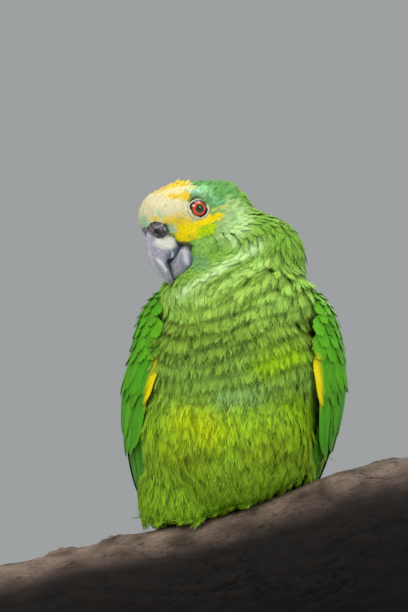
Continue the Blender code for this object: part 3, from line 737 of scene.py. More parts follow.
def joined_copy(name, nodes, grow):
    """One mesh of these nodes together, each grown a little so that the thin cuts between them close."""
    bm = bmesh.new()
    for node in nodes:
        mesh = node.data.copy()
        mesh.transform(node.matrix_world)
        normals = [vertex.normal.copy() for vertex in mesh.vertices]
        for vertex, normal in zip(mesh.vertices, normals):
            vertex.co += normal * grow
        bm.from_mesh(mesh)
        bpy.data.meshes.remove(mesh)
    mesh = bpy.data.meshes.new(name)
    bm.to_mesh(mesh)
    bm.free()
    return linked(name, mesh)


def melted(name, nodes, voxel, rounds):
    """The nodes flowed into one smooth closed surface."""
    whole = joined_copy(name, nodes, SKIN_GROWTH)
    remesh = whole.modifiers.new("remesh", "REMESH")
    remesh.mode = "VOXEL"
    remesh.voxel_size = voxel
    soften = whole.modifiers.new("soften", "SMOOTH")
    soften.factor = 0.5
    soften.iterations = rounds
    return apply_modifiers(whole)


def tree_of(nodes):
    """A search tree over the surfaces of these nodes."""
    points, faces = [], []
    for node in nodes:
        start = len(points)
        points += [node.matrix_world @ vertex.co for vertex in node.data.vertices]
        faces += [[start + i for i in face.vertices] for face in node.data.polygons]
    return BVHTree.FromPolygons(points, faces)


def nearest(tree, points):
    """The closest points of a surface, its normals there, and how far off they are."""
    found = [tree.find_nearest(Vector(p)) for p in points]
    return (
        np.array([hit[0] for hit in found]),
        np.array([hit[1] for hit in found]),
        np.array([hit[3] for hit in found]),
    )


def make_skin(flesh, finish):
    """One closed skin in place of the head, neck, trunk and thighs, with the plumage's markings."""
    skin = melted("skin", flesh, SKIN_VOXEL, 6)
    points = vertices_of(skin)
    length = feather_sizes(place_weights(points))[0]
    # The skin lies under the feathers' roots, and deeper at the gape and in the sockets of the eyes.
    depth = 0.09 * length + 0.0006 + 0.0018 * (1 - smoothstep(0.6, 1.1, from_centre(in_bill(points), *GAPE)))
    depth = depth + 0.0032 * (1 - smoothstep(0.0054, 0.0072, from_eye(points)))
    points = points - vertices_of(skin, "normal") * depth[:, None]
    reshaped(skin, points, finish)
    paint(skin, plumage_colour(points) * 0.75)
    return body_piece(skin, "plumage", *FLESH_NODES)


def scattered(surface, rng):
    """Points spread over a surface, evenly by area, with its normals."""
    mesh = surface.data
    mesh.calc_loop_triangles()
    corners = np.empty(len(mesh.loop_triangles) * 3, np.int32)
    mesh.loop_triangles.foreach_get("vertices", corners)
    triangles = vertices_of(surface)[corners.reshape(-1, 3)]
    crosses = np.cross(triangles[:, 1] - triangles[:, 0], triangles[:, 2] - triangles[:, 0])
    areas = np.linalg.norm(crosses, axis=1)
    # The face has the smallest feathers, and so it gets more tries for each square millimetre.
    near_bill = np.linalg.norm(in_bill(triangles.mean(axis=1)), axis=1)
    odds = areas * np.where(near_bill < FACE_REACH, FACE_TRIES, 1.0)
    chosen = rng.choice(len(areas), ROOT_TRIES, p=odds / odds.sum())
    a, b = rng.random((2, ROOT_TRIES, 1))
    flip = (a + b) > 1
    a, b = np.where(flip, 1 - a, a), np.where(flip, 1 - b, b)
    t = triangles[chosen]
    return t[:, 0] + a * (t[:, 1] - t[:, 0]) + b * (t[:, 2] - t[:, 0]), unit(crosses[chosen])


def thinned(points, spacing):
    """Indices of points that keep this distance from those taken before them."""
    cell = 0.004
    grid, kept = {}, []
    keys = np.floor(points / cell).astype(int)
    for i, (point, key, reach) in enumerate(zip(points, keys, spacing)):
        x, y, z = key
        near = [
            other
            for dx in (-1, 0, 1)
            for dy in (-1, 0, 1)
            for dz in (-1, 0, 1)
            for other in grid.get((x + dx, y + dy, z + dz), ())
        ]
        if near and (((points[near] - point) ** 2).sum(axis=1) < reach**2).any():
            continue
        grid.setdefault((x, y, z), []).append(i)
        kept.append(i)
    return np.array(kept)


def feather_roots(surface, flesh_tree, wing_tree, horn_tree, rng):
    """Where the body's feathers grow: over the flesh, clear of the wings, bill, cere and eyes."""
    points, normals = scattered(surface, rng)
    off_flesh, off_wing, off_horn = (nearest(tree, points)[2] for tree in (flesh_tree, wing_tree, horn_tree))
    local = in_bill(points)
    bare = from_centre(local, *GAPE) < 1.0
    # Between the nostrils the feathers of the forehead come down over the cere in a point.
    on_cere = np.zeros(len(points), bool)
    for centre, radii in (CERE_BAND, CERE_SWELLINGS[0]):
        on_cere |= from_centre(local, centre, radii) < 1.12
    bare |= on_cere & (local[:, 2] < 0.0006 + 0.0044 * smoothstep(0.0012, 0.0065, local[:, 1]))
    # On the back and low down the wings close over the body, and so nothing grows up to their edges there.
    body = in_crest(points)
    closed = (body[:, 1] > 0.022) | (body[:, 2] < 0.030)
    grows = (off_flesh < 0.0030) & (off_wing > np.where(closed, 0.0020, 0.0014)) & (off_horn > 0.0005)
    grows &= (from_eye(points) > 0.0058) & ~bare
    points, normals = points[grows], normals[grows]
    length, half_width, _, _ = feather_sizes(place_weights(points))
    kept = thinned(points, FEATHER_SPACING * np.sqrt(length * half_width))
    return points[kept], normals[kept]


def clear_of_branch(points, room=0.0012):
    """Moves points that lie in the branch out to its bark."""
    body = in_crest(points.reshape(-1, 3))
    heart = perch_heart(body[:, 0])
    away = body - heart
    away[:, 0] = 0
    distance = np.linalg.norm(away, axis=1)
    short = np.maximum(perch_radius(body[:, 0]) * 1.03 + room - distance, 0)
    return (points.reshape(-1, 3) + unit(away) * short[:, None]).reshape(points.shape)


def walked_rows(tree, roots, normals, length, half_width, turn, leave):
    """Each feather's rows of middle, left and right points, walked over the body in steps, and its normals.

    Where the body turns away from under a feather by more than the angle with the cosine leave, it goes on
    straight."""
    at, up = roots, normals
    way = lie(at, up)
    way = unit(way + np.cross(up, way) * turn[:, None])
    step = length / WALK_STEPS
    rows = [], [], [], []  # middle, left, right and normal
    for _ in range(WALK_STEPS + 1):
        across = unit(np.cross(up, way))
        sides = []
        for sign in (1, -1):
            flat = at + across * (sign * half_width)[:, None]
            beside, _, _ = nearest(tree, flat)
            # Over a sharp turn of the body the vane bridges the hollow instead of following it.
            drop = ((beside - flat) * up).sum(axis=1)
            sides.append(flat + up * np.clip(drop, -0.45 * half_width, 0.25 * half_width)[:, None])
        for row, value in zip(rows, (at, *sides, up)):
            row.append(value)
        ahead = at + way * step[:, None]
        landed, facing, _ = nearest(tree, ahead)
        turned = (facing * normals).sum(axis=1) < leave
        landed = np.where(turned[:, None], ahead, landed)
        facing = np.where(turned[:, None], up, facing)
        up = unit(up + facing)
        way = unit(way + 0.6 * lie(landed, up))
        way = unit(way - up * (way * up).sum(axis=1, keepdims=True))
        at = landed
    return [np.stack(row, axis=1) for row in rows]


NEAR_BRANCH = 0.022  # how high over the branch the feathers are short
MOST_BEND = 0.0050  # how far a vane may be pushed off its line by the branch
ON_WING = 0.0012  # a vane nearer than this lies on the wing
FACE_MAP_REACH = 0.055  # how far from the bill the head's own map is used


def body_coat(surface, flesh_tree, wing_tree, horn_tree, finish):
    """The feathers of the head and body, in the pieces named in COATS."""
    rng = np.random.default_rng(11)
    roots, normals = feather_roots(surface, flesh_tree, wing_tree, horn_tree, rng)
    tree = tree_of([surface])
    weights = place_weights(roots)
    length, half_width, off, loose = feather_sizes(weights)
    count = len(roots)
    length = length * np.clip(rng.normal(1, 0.13, count), 0.7, 1.35)
    # On the breast each root moves so that its tip comes to the end of its row.
    down = lie(roots, normals)
    phase, rows_show = breast_rows(in_crest(roots + down * length[:, None]))
    short = ((phase - ROW_END + 0.5) % 1 - 0.5) * BREAST_ROW * 0.9 * smoothstep(0.1, 0.4, rows_show)
    roots, normals, _ = nearest(tree, roots + down * short[:, None])
    # Feathers that run towards an eye end at its lids, and those over the branch are short.
    to_eye = moved(np.array([[EYE_PLACE.x, s * EYE_PLACE.y, EYE_PLACE.z] for s in (1, -1)]), bill_frame())
    for eye in to_eye:
        gap = np.linalg.norm(roots - eye, axis=1)
        towards = (lie(roots, normals) * (eye - roots)).sum(axis=1) > 0.3 * gap
        length = np.where(towards, np.minimum(length, np.maximum(gap - LID_REACH, 0.0012)), length)
    body = in_crest(roots)
    high = body[:, 2]
    over_branch = high - perch_crest(body[:, 0])
    length = length * (0.8 + 0.2 * smoothstep(0.0, NEAR_BRANCH, over_branch))
    half_width = half_width * np.clip(rng.normal(1, 0.10, count), 0.75, 1.3)
    off = off * rng.uniform(0.3, 1.5, count)
    in_head = in_bill(roots)
    for place, reach, height in TUFTS:
        near = 1 - smoothstep(0.4, 1.0, np.linalg.norm(in_head - place, axis=1) / reach)
        off = off + height * near * (0.25 + 0.75 * rng.uniform(0, 1, count) ** 2)
    # Feathers beside a wing fluff out against it, and those that end a row of the breast stand a little up.
    off_wing = nearest(wing_tree, roots)[2]
    beside = np.exp(-((off_wing / 0.011) ** 2)) * smoothstep(0.2, 0.7, np.abs(normals[:, 0]))
    beside = beside * smoothstep(0.0020, 0.0060, off_wing) * (body[:, 1] < 0.012)
    beside = beside * smoothstep(0.020, 0.045, high) * (1 - smoothstep(0.112, 0.128, high))
    off = off + 0.0052 * beside * rng.uniform(0.4, 1, count)
    off = off + 0.0011 * rows_show * rng.uniform(0.5, 1, count)
    edge = scallop_strength(weights) * rng.uniform(0.7, 1.15, count)
    turn = rng.normal(0, 0.12, count) + loose * rng.normal(0, 0.12, count)
    leave = np.where(over_branch < NEAR_BRANCH, 0.88, 0.45)
    middle, left, right, ups = walked_rows(tree, roots, normals, length, half_width, turn, leave)
    hung = clear_of_branch(np.stack([middle, left, right]))
    # A vane that would have to bend far round the branch isn't grown.
    clear = np.linalg.norm(hung[0] - middle, axis=-1).max(axis=1) < MOST_BEND
    # Nor is one that would lie on a wing, where the wings close over the body.
    touching = [nearest(wing_tree, middle[:, step])[2] < ON_WING for step in range(1, WALK_STEPS + 1)]
    on_wing = np.mean(touching, axis=0)
    clear &= ~((body[:, 1] > 0.022) & (on_wing > 0.45)) & ~((high < 0.034) & (on_wing > 0.15))
    middle, left, right = hung
    base = plumage_colour(roots + lie(roots, normals) * (0.6 * length)[:, None])
    near_face = np.linalg.norm(in_head, axis=1) < FACE_MAP_REACH
    maps = np.where(near_face[:, None], head_map(roots), body_map(roots))
    tilt = rng.normal(0, 0.035, count) * half_width
    names = list(FEATHER_PLACES)
    place = weights.argmax(axis=1)
    variant = rng.integers(0, VANE_VARIANTS, count)
    for coat, places in COATS.items():
        members = clear & np.isin(place, [names.index(name) for name in places])
        small = coat in ("coat_face", "coat_head")
        fray = float(loose[members].mean())
        batches = []
        for k in range(VANE_VARIANTS):
            mine = np.flatnonzero(members & (variant == k))
            if not len(mine):
                continue
            if small:
                template = vane_template(9, 0.5, 100 + k, 0.55)
            else:
                barbs = 16 if coat == "coat_flanks" else 20
                joined = 0.8 - 0.35 * fray
                template = vane_template(barbs, 0.35 + 0.6 * fray, 100 + k, 0.5, joined, sweep=min(fray, 1))
            rows = middle[mine], left[mine], right[mine]
            at = vane_points(template, *rows)
            own = plumage_colour(at.reshape(-1, 3)).reshape(at.shape)
            blend = mixed(base[mine][:, None, :], own, np.full(at.shape[:2], 0.6))
            colours = vane_colours(
                template, blend, edge[mine], rng, ROOT_SHADES.get(coat, 0.55),
                streak=BARB_STREAKS.get(coat, 0.32), fringe=0.6 * fray,
                vary=0.03 if coat == "coat_face" else 0.05,
            )
            batches.append(
                vanes(
                    template, *rows, ups[mine], 0.050 * length[mine], off[mine], tilt[mine],
                    0.08 * half_width[mine], 0.00005 if small else 0.00012, colours, maps[mine],
                )
            )
        body_piece(coat_piece(coat, batches, finish), "plumage")


# ---------------------------------------------------------------- wings


def wing_point(side, t, s, inset=0.0):
    """World places on a wing: t from the shoulder to the tip, s from the leading edge to the back."""
    height, back, half_width, half_depth, lead, rear, _ = smooth_rows(WING_ROWS, t)
    angle = np.radians(lead + (rear - lead) * s)
    height = height + np.minimum(0.125 - height, 0) - 0.195 * np.maximum(np.asarray(t) - 1, 0)
    sway = SWAY * (np.clip(height, SWAY_HEIGHTS[0], SWAY_HEIGHTS[2]) - SWAY_HEIGHTS[1])
    x = side * (half_width - inset) * np.cos(angle) + sway
    y = back + (half_depth - inset) * np.sin(angle)
    return np.stack([x, y, height], axis=-1) + np.array(CREST)


def wing_normal(side, t, s):
    """The way out of the wing's surface, from places a small step to either side."""
    step = 0.004
    low = np.minimum(t + step, 1)
    down = wing_point(side, low, s) - wing_point(side, low - 2 * step, s)
    back = wing_point(side, t, s + step) - wing_point(side, t, s - step)
    return unit(np.cross(down, back) * side)


def wing_arc(t):
    """The length of the wing's arc from its leading edge to its back."""
    _, _, half_width, half_depth, lead, rear, _ = smooth_rows(WING_ROWS, t)
    return np.radians(rear - lead) * (half_width + half_depth) / 2


# The tracts of a wing, the lowest first: where its row starts and how long its feathers are, both as shares
# of the wing's length; the span from the leading edge to the back; how many feathers; half width in metres;
# how high it lies; how far the feathers lean back over their length; how many barbs to a side; colour.
WING_TRACTS = [
    ("primaries", 0.40, 0.58, (-0.03, 0.42), 8, 0.0085, 0.0002, 0.05, 34, EMERALD),
    ("secondaries", 0.38, 0.36, (0.26, 0.98), 11, 0.0090, 0.0006, 0.02, 30, EMERALD),
    ("tertials", 0.34, 0.30, (0.80, 1.00), 4, 0.0085, 0.0009, 0.00, 26, EMERALD),
    ("primary_coverts", 0.33, 0.20, (-0.05, 0.30), 7, 0.0056, 0.0009, 0.04, 22, (0.06, 0.33, 0.010)),
    ("alula", 0.26, 0.15, (-0.07, 0.10), 3, 0.0050, 0.0011, 0.02, 18, (0.06, 0.33, 0.010)),
    ("greater_coverts", 0.32, 0.165, (0.10, 0.99), 13, 0.0075, 0.0011, 0.02, 24, (0.06, 0.33, 0.009)),
    ("median_coverts", 0.255, 0.125, (-0.04, 0.99), 15, 0.0066, 0.0013, 0.01, 20, (0.07, 0.34, 0.009)),
]
LONG_TRACTS = ("primaries", "secondaries", "tertials", "primary_coverts", "alula")
# The small coverts above them, in even rows: from and to, the number of rows.
SMALL_COVERTS = (-0.02, 0.21, 8)
SMALL_COVERT_GREEN = (0.08, 0.35, 0.010)


def wing_vanes(side, t0, t_length, s0, lean, half_width, height, barbs, colour, rng, flight=False):
    """The vanes of one row of a wing: arrays of each feather's start, length and place."""
    count, rows = len(t0), 9
    u = np.linspace(0, 1, rows)
    t = t0[:, None] + t_length[:, None] * u
    s = s0[:, None] + lean * u
    share = half_width / np.maximum(wing_arc(t), 0.012)
    sides = [wing_point(side, t, s), wing_point(side, t, s - share), wing_point(side, t, s + share)]
    ups = wing_normal(side, t, s)
    if side < 0:
        sides[1], sides[2] = sides[2], sides[1]
    if flight:
        template = vane_template(barbs, 0.06, 7, 0.28, shaft=True)
    else:
        template = vane_template(barbs, 0.22, 7, 0.5, joined=0.8, sweep=0.3)
    tilt = np.full(count, side * (0.00030 if flight else 0.00012))
    off = rng.uniform(0.0001, 0.0005, count) + height
    base = mixed(colour, (0.15, 0.42, 0.012), 0.45 * rng.random(count))
    colours = vane_colours(template, base, np.zeros(count), rng, 0.55 if flight else 0.8)
    rim = smoothstep(0.72, 1.0, template["f"]) * smoothstep(0.15, 0.5, template["u"])
    colours = mixed(colours, WING_EDGE, (0.75 if flight else 0.5) * rim)
    lead = side * template["v"]  # above 0 on the side of the leading edge
    if flight:
        tip = smoothstep(0.74, 0.98, template["u"])
        blue = smoothstep(-0.1, 0.2, lead) * tip
        dark = (1 - smoothstep(-0.6, 0.0, lead)) * 0.35
        outer = (1 - smoothstep(0.30, 0.50, s0))[:, None]
        colours = mixed(colours, PRIMARY_BLUE, (0.8 if t_length.mean() > 0.3 else 0) * blue * outer)
        colours = mixed(colours, FLIGHT_BLACK, dark * outer)
    # The bend of the wing is yellow along the leading edge.
    at_t = t0[:, None] + t_length[:, None] * template["u"]
    at_s = s0[:, None] + lean * template["u"] - lead * share.mean(axis=1)[:, None]
    bend = smoothstep(0.26, 0.31, at_t) * (1 - smoothstep(0.39, 0.44, at_t))
    bend = bend * (1 - smoothstep(-0.09, -0.05, at_s))
    colours = mixed(colours, YELLOW, 0.9 * bend)
    maps = np.stack([0.02 + 0.96 * (0.1 + 0.8 * s0), 0.02 + 0.96 * (0.05 + 0.9 * t0)], axis=1)
    return vanes(
        template, *sides, ups,
        np.full(count, 0.0012) - height, off, tilt, np.full(count, 0.0003),
        0.0001, np.clip(colours, 0, 1), maps,
    )


def wing_coat(name, side, node, finish):
    """One folded wing: its flight feathers, its coverts and the skin under them."""
    rng = np.random.default_rng(21 if side > 0 else 22)
    flight, coverts = [], []
    for tract, start, length, (first, last), count, width, height, lean, barbs, colour in WING_TRACTS:
        k = np.arange(count)
        s0 = lerp(first, last, k / (count - 1)) + rng.normal(0, 0.004, count)
        t0 = start - 0.04 * s0 + rng.normal(0, 0.006, count)
        t_length = np.full(count, length) * rng.normal(1, 0.02, count)
        if tract == "primaries":
            # The outermost feathers are a little shorter than the next, and all reach for the tip.
            t_length = length * np.interp(k, (0, 2, 7), (0.93, 1.0, 0.86))
        if tract == "secondaries":
            t_length = length * np.interp(k / (count - 1), (0, 0.6, 1), (0.85, 1.0, 0.95))
        long = tract in LONG_TRACTS
        batch = wing_vanes(side, t0, t_length, s0, lean, width, height, barbs, colour, rng, long)
        (flight if long else coverts).append(batch)
    first, last, rows = SMALL_COVERTS
    for row in range(rows):
        start = lerp(last, first, row / (rows - 1))
        half_width = lerp(0.0056, 0.0036, row / (rows - 1))
        arc = wing_arc(np.array(max(start, 0)))
        count = int(0.98 * arc / (1.35 * half_width))
        s0 = np.linspace(-0.06, 1.0, count) + (0.5 * (row % 2)) / count + rng.normal(0, 0.006, count)
        t0 = start + rng.normal(0, 0.004, count)
        t_length = np.full(count, lerp(0.085, 0.055, row / (rows - 1)))
        height = 0.0014 + 0.00003 * row
        batch = wing_vanes(side, t0, t_length, s0, 0.0, half_width, height, 12, SMALL_COVERT_GREEN, rng)
        coverts.append(batch)
    body_piece(wing_skin(f"{name}_skin", side, finish), "wing_plumage", node)
    body_piece(coat_piece(f"{name}_flight", flight, finish), "wing_plumage")
    body_piece(coat_piece(f"{name}_coverts", coverts, finish), "wing_plumage")


def wing_skin(name, side, finish, rings=60, arc_points=26):
    """The wing under its vanes: a closed crescent a little inside the solid."""
    share = np.linspace(0, 1, arc_points)
    points = []
    for t in np.linspace(0.0, 0.985, rings):
        thickness = smooth_rows(WING_ROWS, np.array(t))[6]
        depth = thickness * (0.18 + 0.82 * np.sin(np.pi * share) ** 0.6)
        outer, inner = (
            wing_point(side, np.full(arc_points, t), 0.01 + 0.98 * share, inset)
            for inset in (np.minimum(0.0013, 0.35 * depth), depth)
        )
        points += [*outer, *inner[::-1]]
    made = mesh_object(name, points, ring_faces(rings, 2 * arc_points, True, True), finish)
    turn_outwards(made)
    place = in_crest(vertices_of(made))
    inner_side = smoothstep(0.0, 0.02, 0.03 - np.abs(place[:, 0]))
    paint(made, mixed((0.06, 0.24, 0.03), (0.06, 0.17, 0.05), inner_side))
    return made


def turn_outwards(obj):
    """Turns every face of a closed mesh to look outwards."""
    bm = bmesh.new()
    bm.from_mesh(obj.data)
    bmesh.ops.recalc_face_normals(bm, faces=bm.faces)
    bm.to_mesh(obj.data)
    bm.free()


# ---------------------------------------------------------------- tail


def tail_frame():
    """The tail's own directions: along it, and out of its upper side."""
    along = np.array(TAIL_TIP - TAIL_ROOT)
    out = unit(np.cross(along, (1.0, 0.0, 0.0)))
    return along, out if out[1] > 0 else -out


def tail_point(t, share, lift):
    """A place on the fan of the tail in world space, share from -1 to 1 across it."""
    along, out = tail_frame()
    half_width = smooth_rows([(w,) for w in TAIL_HALF_WIDTHS], t)[0]
    end = 1 - 0.06 * share * share * t
    middle = np.array(TAIL_ROOT) + along * (t * end)[..., None]
    middle = middle + out * (lift - TAIL_BOW * share * share)[..., None]
    middle[..., 0] = TAIL_ROOT.x + half_width * share
    return middle + np.array(CREST)


def tail_coat(finish):
    """The tail's vanes, a row of twelve over a thin core and another under it, highest in the middle."""
    rng = np.random.default_rng(31)
    out = tail_frame()[1]
    rows, count = 9, TAIL_FEATHERS
    t = np.linspace(0.02, 1.0, rows)
    batches = []
    template = vane_template(46, 0.05, 8, 0.16, shaft=True)
    for under in (1, -1):
        k = np.arange(count)
        share = (k - (count - 1) / 2) / ((count - 1) / 2) * 0.84
        depth = np.abs(share)
        lift = under * 0.0004 + 0.0017 - 0.0032 * depth
        middle, left, right = [], [], []
        for j in range(count):
            at = np.full(rows, share[j])
            width = 0.27 * np.ones(rows)
            high = np.full(rows, lift[j])
            middle.append(tail_point(t, at, high))
            left.append(tail_point(t, at + width, high - 0.0005 * np.sign(share[j]) * under))
            right.append(tail_point(t, at - width, high + 0.0005 * np.sign(share[j]) * under))
        middle, left, right = (np.stack(value) for value in (middle, left, right))
        ups = np.broadcast_to(out * under, middle.shape)
        u = template["u"]
        base = np.repeat(np.array((0.05, 0.26, 0.02))[None], count, axis=0)
        colours = vane_colours(template, base, np.zeros(count), rng, 0.8)
        colours = mixed(colours, TAIL_TIP_GREEN, 0.85 * smoothstep(0.68, 0.95, u))
        inner = template["v"][None, :] * share[:, None] < 0
        red = smoothstep(0.35, 0.6, depth)[:, None] * (1 - smoothstep(0.40, 0.66, u))[None, :]
        colours = mixed(colours, TAIL_RED, 0.85 * red * (inner | (under < 0)))
        if under < 0:
            colours = colours * 0.85 + 0.02
        maps = np.stack([0.5 + 0.44 * share, np.full(count, 0.30 + 0.4 * (under > 0))], axis=1)
        batches.append(
            vanes(
                template, middle, left, right, ups,
                np.full(count, 0.0002), np.full(count, 0.0002), np.zeros(count), np.full(count, 0.0004),
                0.0001, np.clip(colours, 0, 1), maps,
            )
        )
    core = tail_core(finish)
    body_piece(core, "wing_plumage", "tail")
    body_piece(coat_piece("tail_feathers", batches, finish), "wing_plumage")


def tail_core(finish, rings=30, across=17):
    """The flat closed body that lies between the tail's vanes."""
    shares = np.sin(np.linspace(-np.pi / 2, np.pi / 2, across)) * 0.93
    points = []
    for t in np.linspace(0, 0.965, rings):
        thickness = 0.0016 * np.sqrt(np.clip(1 - shares**2, 0.05, 1)) * (1 - 0.5 * t)
        flat = np.full(across, t)
        top = tail_point(flat, shares, thickness / 2)
        low = tail_point(flat, shares, -thickness / 2)
        points += [*top, *low[::-1]]
    made = mesh_object("tail_core", points, ring_faces(rings, 2 * across, True, True), finish)
    turn_outwards(made)
    paint(made, np.repeat(np.array([[0.05, 0.20, 0.03]]), len(points), axis=0))
    return made


# ---------------------------------------------------------------- eyes and lids


def eye_frame(side):
    """The eye's own frame in world space: +Z is its gaze, +X runs towards the bill."""
    gaze = Vector((GAZE.x, side * GAZE.y, GAZE.z)).normalized()
    ahead = (Vector((1, 0, 0)) - gaze * gaze.x).normalized()
    turned = Matrix((ahead, gaze.cross(ahead), gaze)).transposed().to_4x4()
    place = Vector((EYE_PLACE.x, side * EYE_PLACE.y, EYE_PLACE.z))
    return bill_frame() @ Matrix.Translation(place) @ turned


def ring_faces(rings, around, closed_start=False, closed_end=False):
    """The faces between rings of as many points each, one after another, with an end face where asked."""
    faces = []
    for i in range(rings - 1):
        for j in range(around):
            k = (j + 1) % around
            faces.append((i * around + j, i * around + k, (i + 1) * around + k, (i + 1) * around + j))
    if closed_start:
        faces.append(tuple(range(around))[::-1])
    if closed_end:
        faces.append(tuple(range((rings - 1) * around, rings * around)))
    return faces


def make_eye(name, side, finish):
    """The eyeball, painted in rings from the pupil out, with fine spokes in the iris."""
    around = 96
    angles = np.radians(np.concatenate([np.linspace(0.3, 50, 60), np.linspace(53, 150, 24)]))
    turns = np.arange(around) * 2 * np.pi / around
    rings = [
        np.stack([np.sin(a) * np.cos(turns), np.sin(a) * np.sin(turns), np.cos(a) * np.ones(around)], axis=1)
        for a in angles
    ]
    local = np.concatenate(rings)
    # The cornea bulges a little over the iris.
    bulge = 1 + 0.045 * (1 - smoothstep(0.0, 48.0, np.degrees(np.repeat(angles, around))))
    points = moved(local * EYE_RADIUS * bulge[:, None], eye_frame(side))
    made = mesh_object(name, points, ring_faces(len(angles), around, True, True), finish)
    turn_outwards(made)
    ends = [ring[0] for ring in IRIS_RINGS]
    at = np.degrees(np.repeat(angles, around))
    at = at + 0.5 * np.sin(np.tile(turns, len(angles)) * 17) * (at > 18)
    colours = np.stack([np.interp(at, ends, [ring[1][c] for ring in IRIS_RINGS]) for c in range(3)], axis=1)
    rng = np.random.default_rng(41)
    spokes = np.tile(rng.uniform(0.72, 1.2, around), len(angles))
    colours = colours * np.where(at > 19, spokes, 1)[:, None]
    paint(made, colours)
    return body_piece(made, "eye", name)


# The lids, from the eyeball outwards: reach as a share of the opening, lift off the head, and colour.
LID_ROWS = [
    (0.99, None, (0.02, 0.02, 0.02)),
    (1.02, 0.0004, (0.05, 0.05, 0.05)),
    (1.05, 0.0008, (0.62, 0.60, 0.44)),
    (1.09, 0.0010, (0.86, 0.83, 0.64)),
    (1.13, 0.0007, (0.66, 0.64, 0.46)),
    (1.17, 0.0002, (0.36, 0.34, 0.19)),
    (1.21, 0.0004, (0.62, 0.58, 0.36)),
    (1.27, -0.0001, (0.42, 0.40, 0.20)),
    (1.36, -0.0010, (0.42, 0.44, 0.20)),
]


def make_lids(name, side, tree, finish):
    """A ring of bare skin round the eye, in folds, from the rim of the opening onto the head."""
    around = 120
    frame = eye_frame(side)
    into = -(frame.to_3x3() @ Vector((0, 0, 1)))
    points, colours = [], []
    for reach, lift, colour in LID_ROWS:
        for j in range(around):
            turn = 2 * math.pi * j / around
            # The ring draws out into a fold in front of and below the eye.
            low_front = max(0.0, math.cos(turn + side * 0.75)) ** 3
            wide = reach + 0.22 * low_front * max(0.0, reach - 1.1) / 0.4
            flat = Vector((LID_OPENING[0] * wide * math.cos(turn), LID_OPENING[1] * wide * math.sin(turn), 0))
            start = frame @ (flat + Vector((0, 0, 0.02)))
            bead = 0.00008 * math.sin(turn * 31 + reach * 40)
            if lift is None:
                flat.z = math.sqrt(EYE_RADIUS**2 - flat.x**2 - flat.y**2) - 0.0001
                points.append(frame @ flat)
            else:
                hit = tree.ray_cast(start, into)[0]
                on_head = (frame.inverted() @ hit).z if hit else 0.002
                room = EYE_RADIUS**2 - flat.x**2 - flat.y**2
                on_eye = math.sqrt(room) if room > 0 else 0
                blend = min(max((reach - 1.03) / 0.30, 0), 1)
                flat.z = max(on_head, on_eye * (1 - blend)) * 0.999 + lift + bead
                points.append(frame @ flat)
            shade = 1 - 0.35 * low_front * (reach > 1.18)
            colours.append([c * shade for c in colour])
    made = mesh_object(name, points, ring_faces(len(LID_ROWS), around), finish)
    bm = bmesh.new()
    bm.from_mesh(made.data)
    if side < 0:
        bmesh.ops.reverse_faces(bm, faces=bm.faces)
    bm.to_mesh(made.data)
    bm.free()
    paint(made, np.array(colours))
    smooth = made.modifiers.new("smooth", "SUBSURF")
    smooth.levels = smooth.render_levels = 1
    return body_piece(made, "bare_skin")


# ---------------------------------------------------------------- bill and cere


def bill_ring(ridge, edge, half_width, sides, fullness=0.8):
    """A ring from the ridge round both cutting edges, in the plane across the bill."""
    ring = []
    for i in range(sides):
        angle = 2 * math.pi * i / sides
        depth = ((1 - math.cos(angle)) / 2) ** fullness
        across = math.copysign(abs(math.sin(angle)) ** fullness, math.sin(angle))
        middle = ridge.lerp(edge, depth)
        ring.append(Vector((middle.x, half_width * across, middle.z)))
    return ring


def bump_at(t, middle, width):
    return math.exp(-(((t - middle) / width) ** 2))


def bill_mesh(name, rings, finish, colour_of, *nodes):
    """One half of the bill, from its rings in the bill frame."""
    sides = len(rings[0])
    local = np.array([tuple(point) for ring in rings for point in ring])
    made = mesh_object(name, moved(local, bill_frame()), ring_faces(len(rings), sides, True, True), finish)
    turn_outwards(made)
    paint(made, colour_of(local))
    return body_piece(made, "horn", *nodes)


def make_upper_bill(finish):
    """The upper horn: rings from the cere to the hooked tip."""
    rings, count = [], 90
    for i in range(count):
        t = i / (count - 1)
        angle, edge_x, edge_z, half_width = smooth_rows(UPPER_BILL_ROWS, t)
        around = math.radians(angle)
        # Fine growth ridges run round the horn.
        ridge_height = 0.00005 * math.sin(110 * t) * (1 - t)
        radius = CULMEN_RADIUS + ridge_height
        ridge = CULMEN_CENTRE + radius * Vector((math.cos(around), 0, math.sin(around)))
        # The cutting edge has a tooth and, before it, a notch.
        edge_z += -0.0009 * bump_at(t, 0.52, 0.06) + 0.0016 * bump_at(t, 0.68, 0.05)
        edge_x += 0.0008 * bump_at(t, 0.68, 0.05)
        rings.append(bill_ring(ridge, Vector((edge_x, 0, edge_z)), half_width + ridge_height, 64))
    return bill_mesh("bill_upper_horn", rings, finish, upper_bill_colour, "bill_upper")


def make_lower_bill(finish):
    """The lower horn: rings from the chin to the cutting edge."""
    rings, count, sides = [], 60, 48
    for i in range(count):
        keel_x, keel_z, edge_x, edge_z, half_width = smooth_rows(LOWER_BILL_ROWS, i / (count - 1))
        ring = bill_ring(Vector((keel_x, 0, keel_z)), Vector((edge_x, 0, edge_z)), half_width, sides)
        # Both cutting edges stand up over the trough between them.
        for k, point in enumerate(ring):
            turn = 2 * math.pi * k / sides
            point.z += 0.0042 * math.sin(turn) ** 2 * float(smoothstep(0.3, 0.8, (1 - math.cos(turn)) / 2))
        rings.append(ring)
    return bill_mesh("bill_lower_horn", rings, finish, lower_bill_colour, "bill_lower")


HORN_GREY = (0.25, 0.255, 0.32)
HORN_PALE = (0.52, 0.50, 0.57)
HORN_SLATE = (0.085, 0.115, 0.19)
HORN_CREAM = (0.74, 0.72, 0.62)


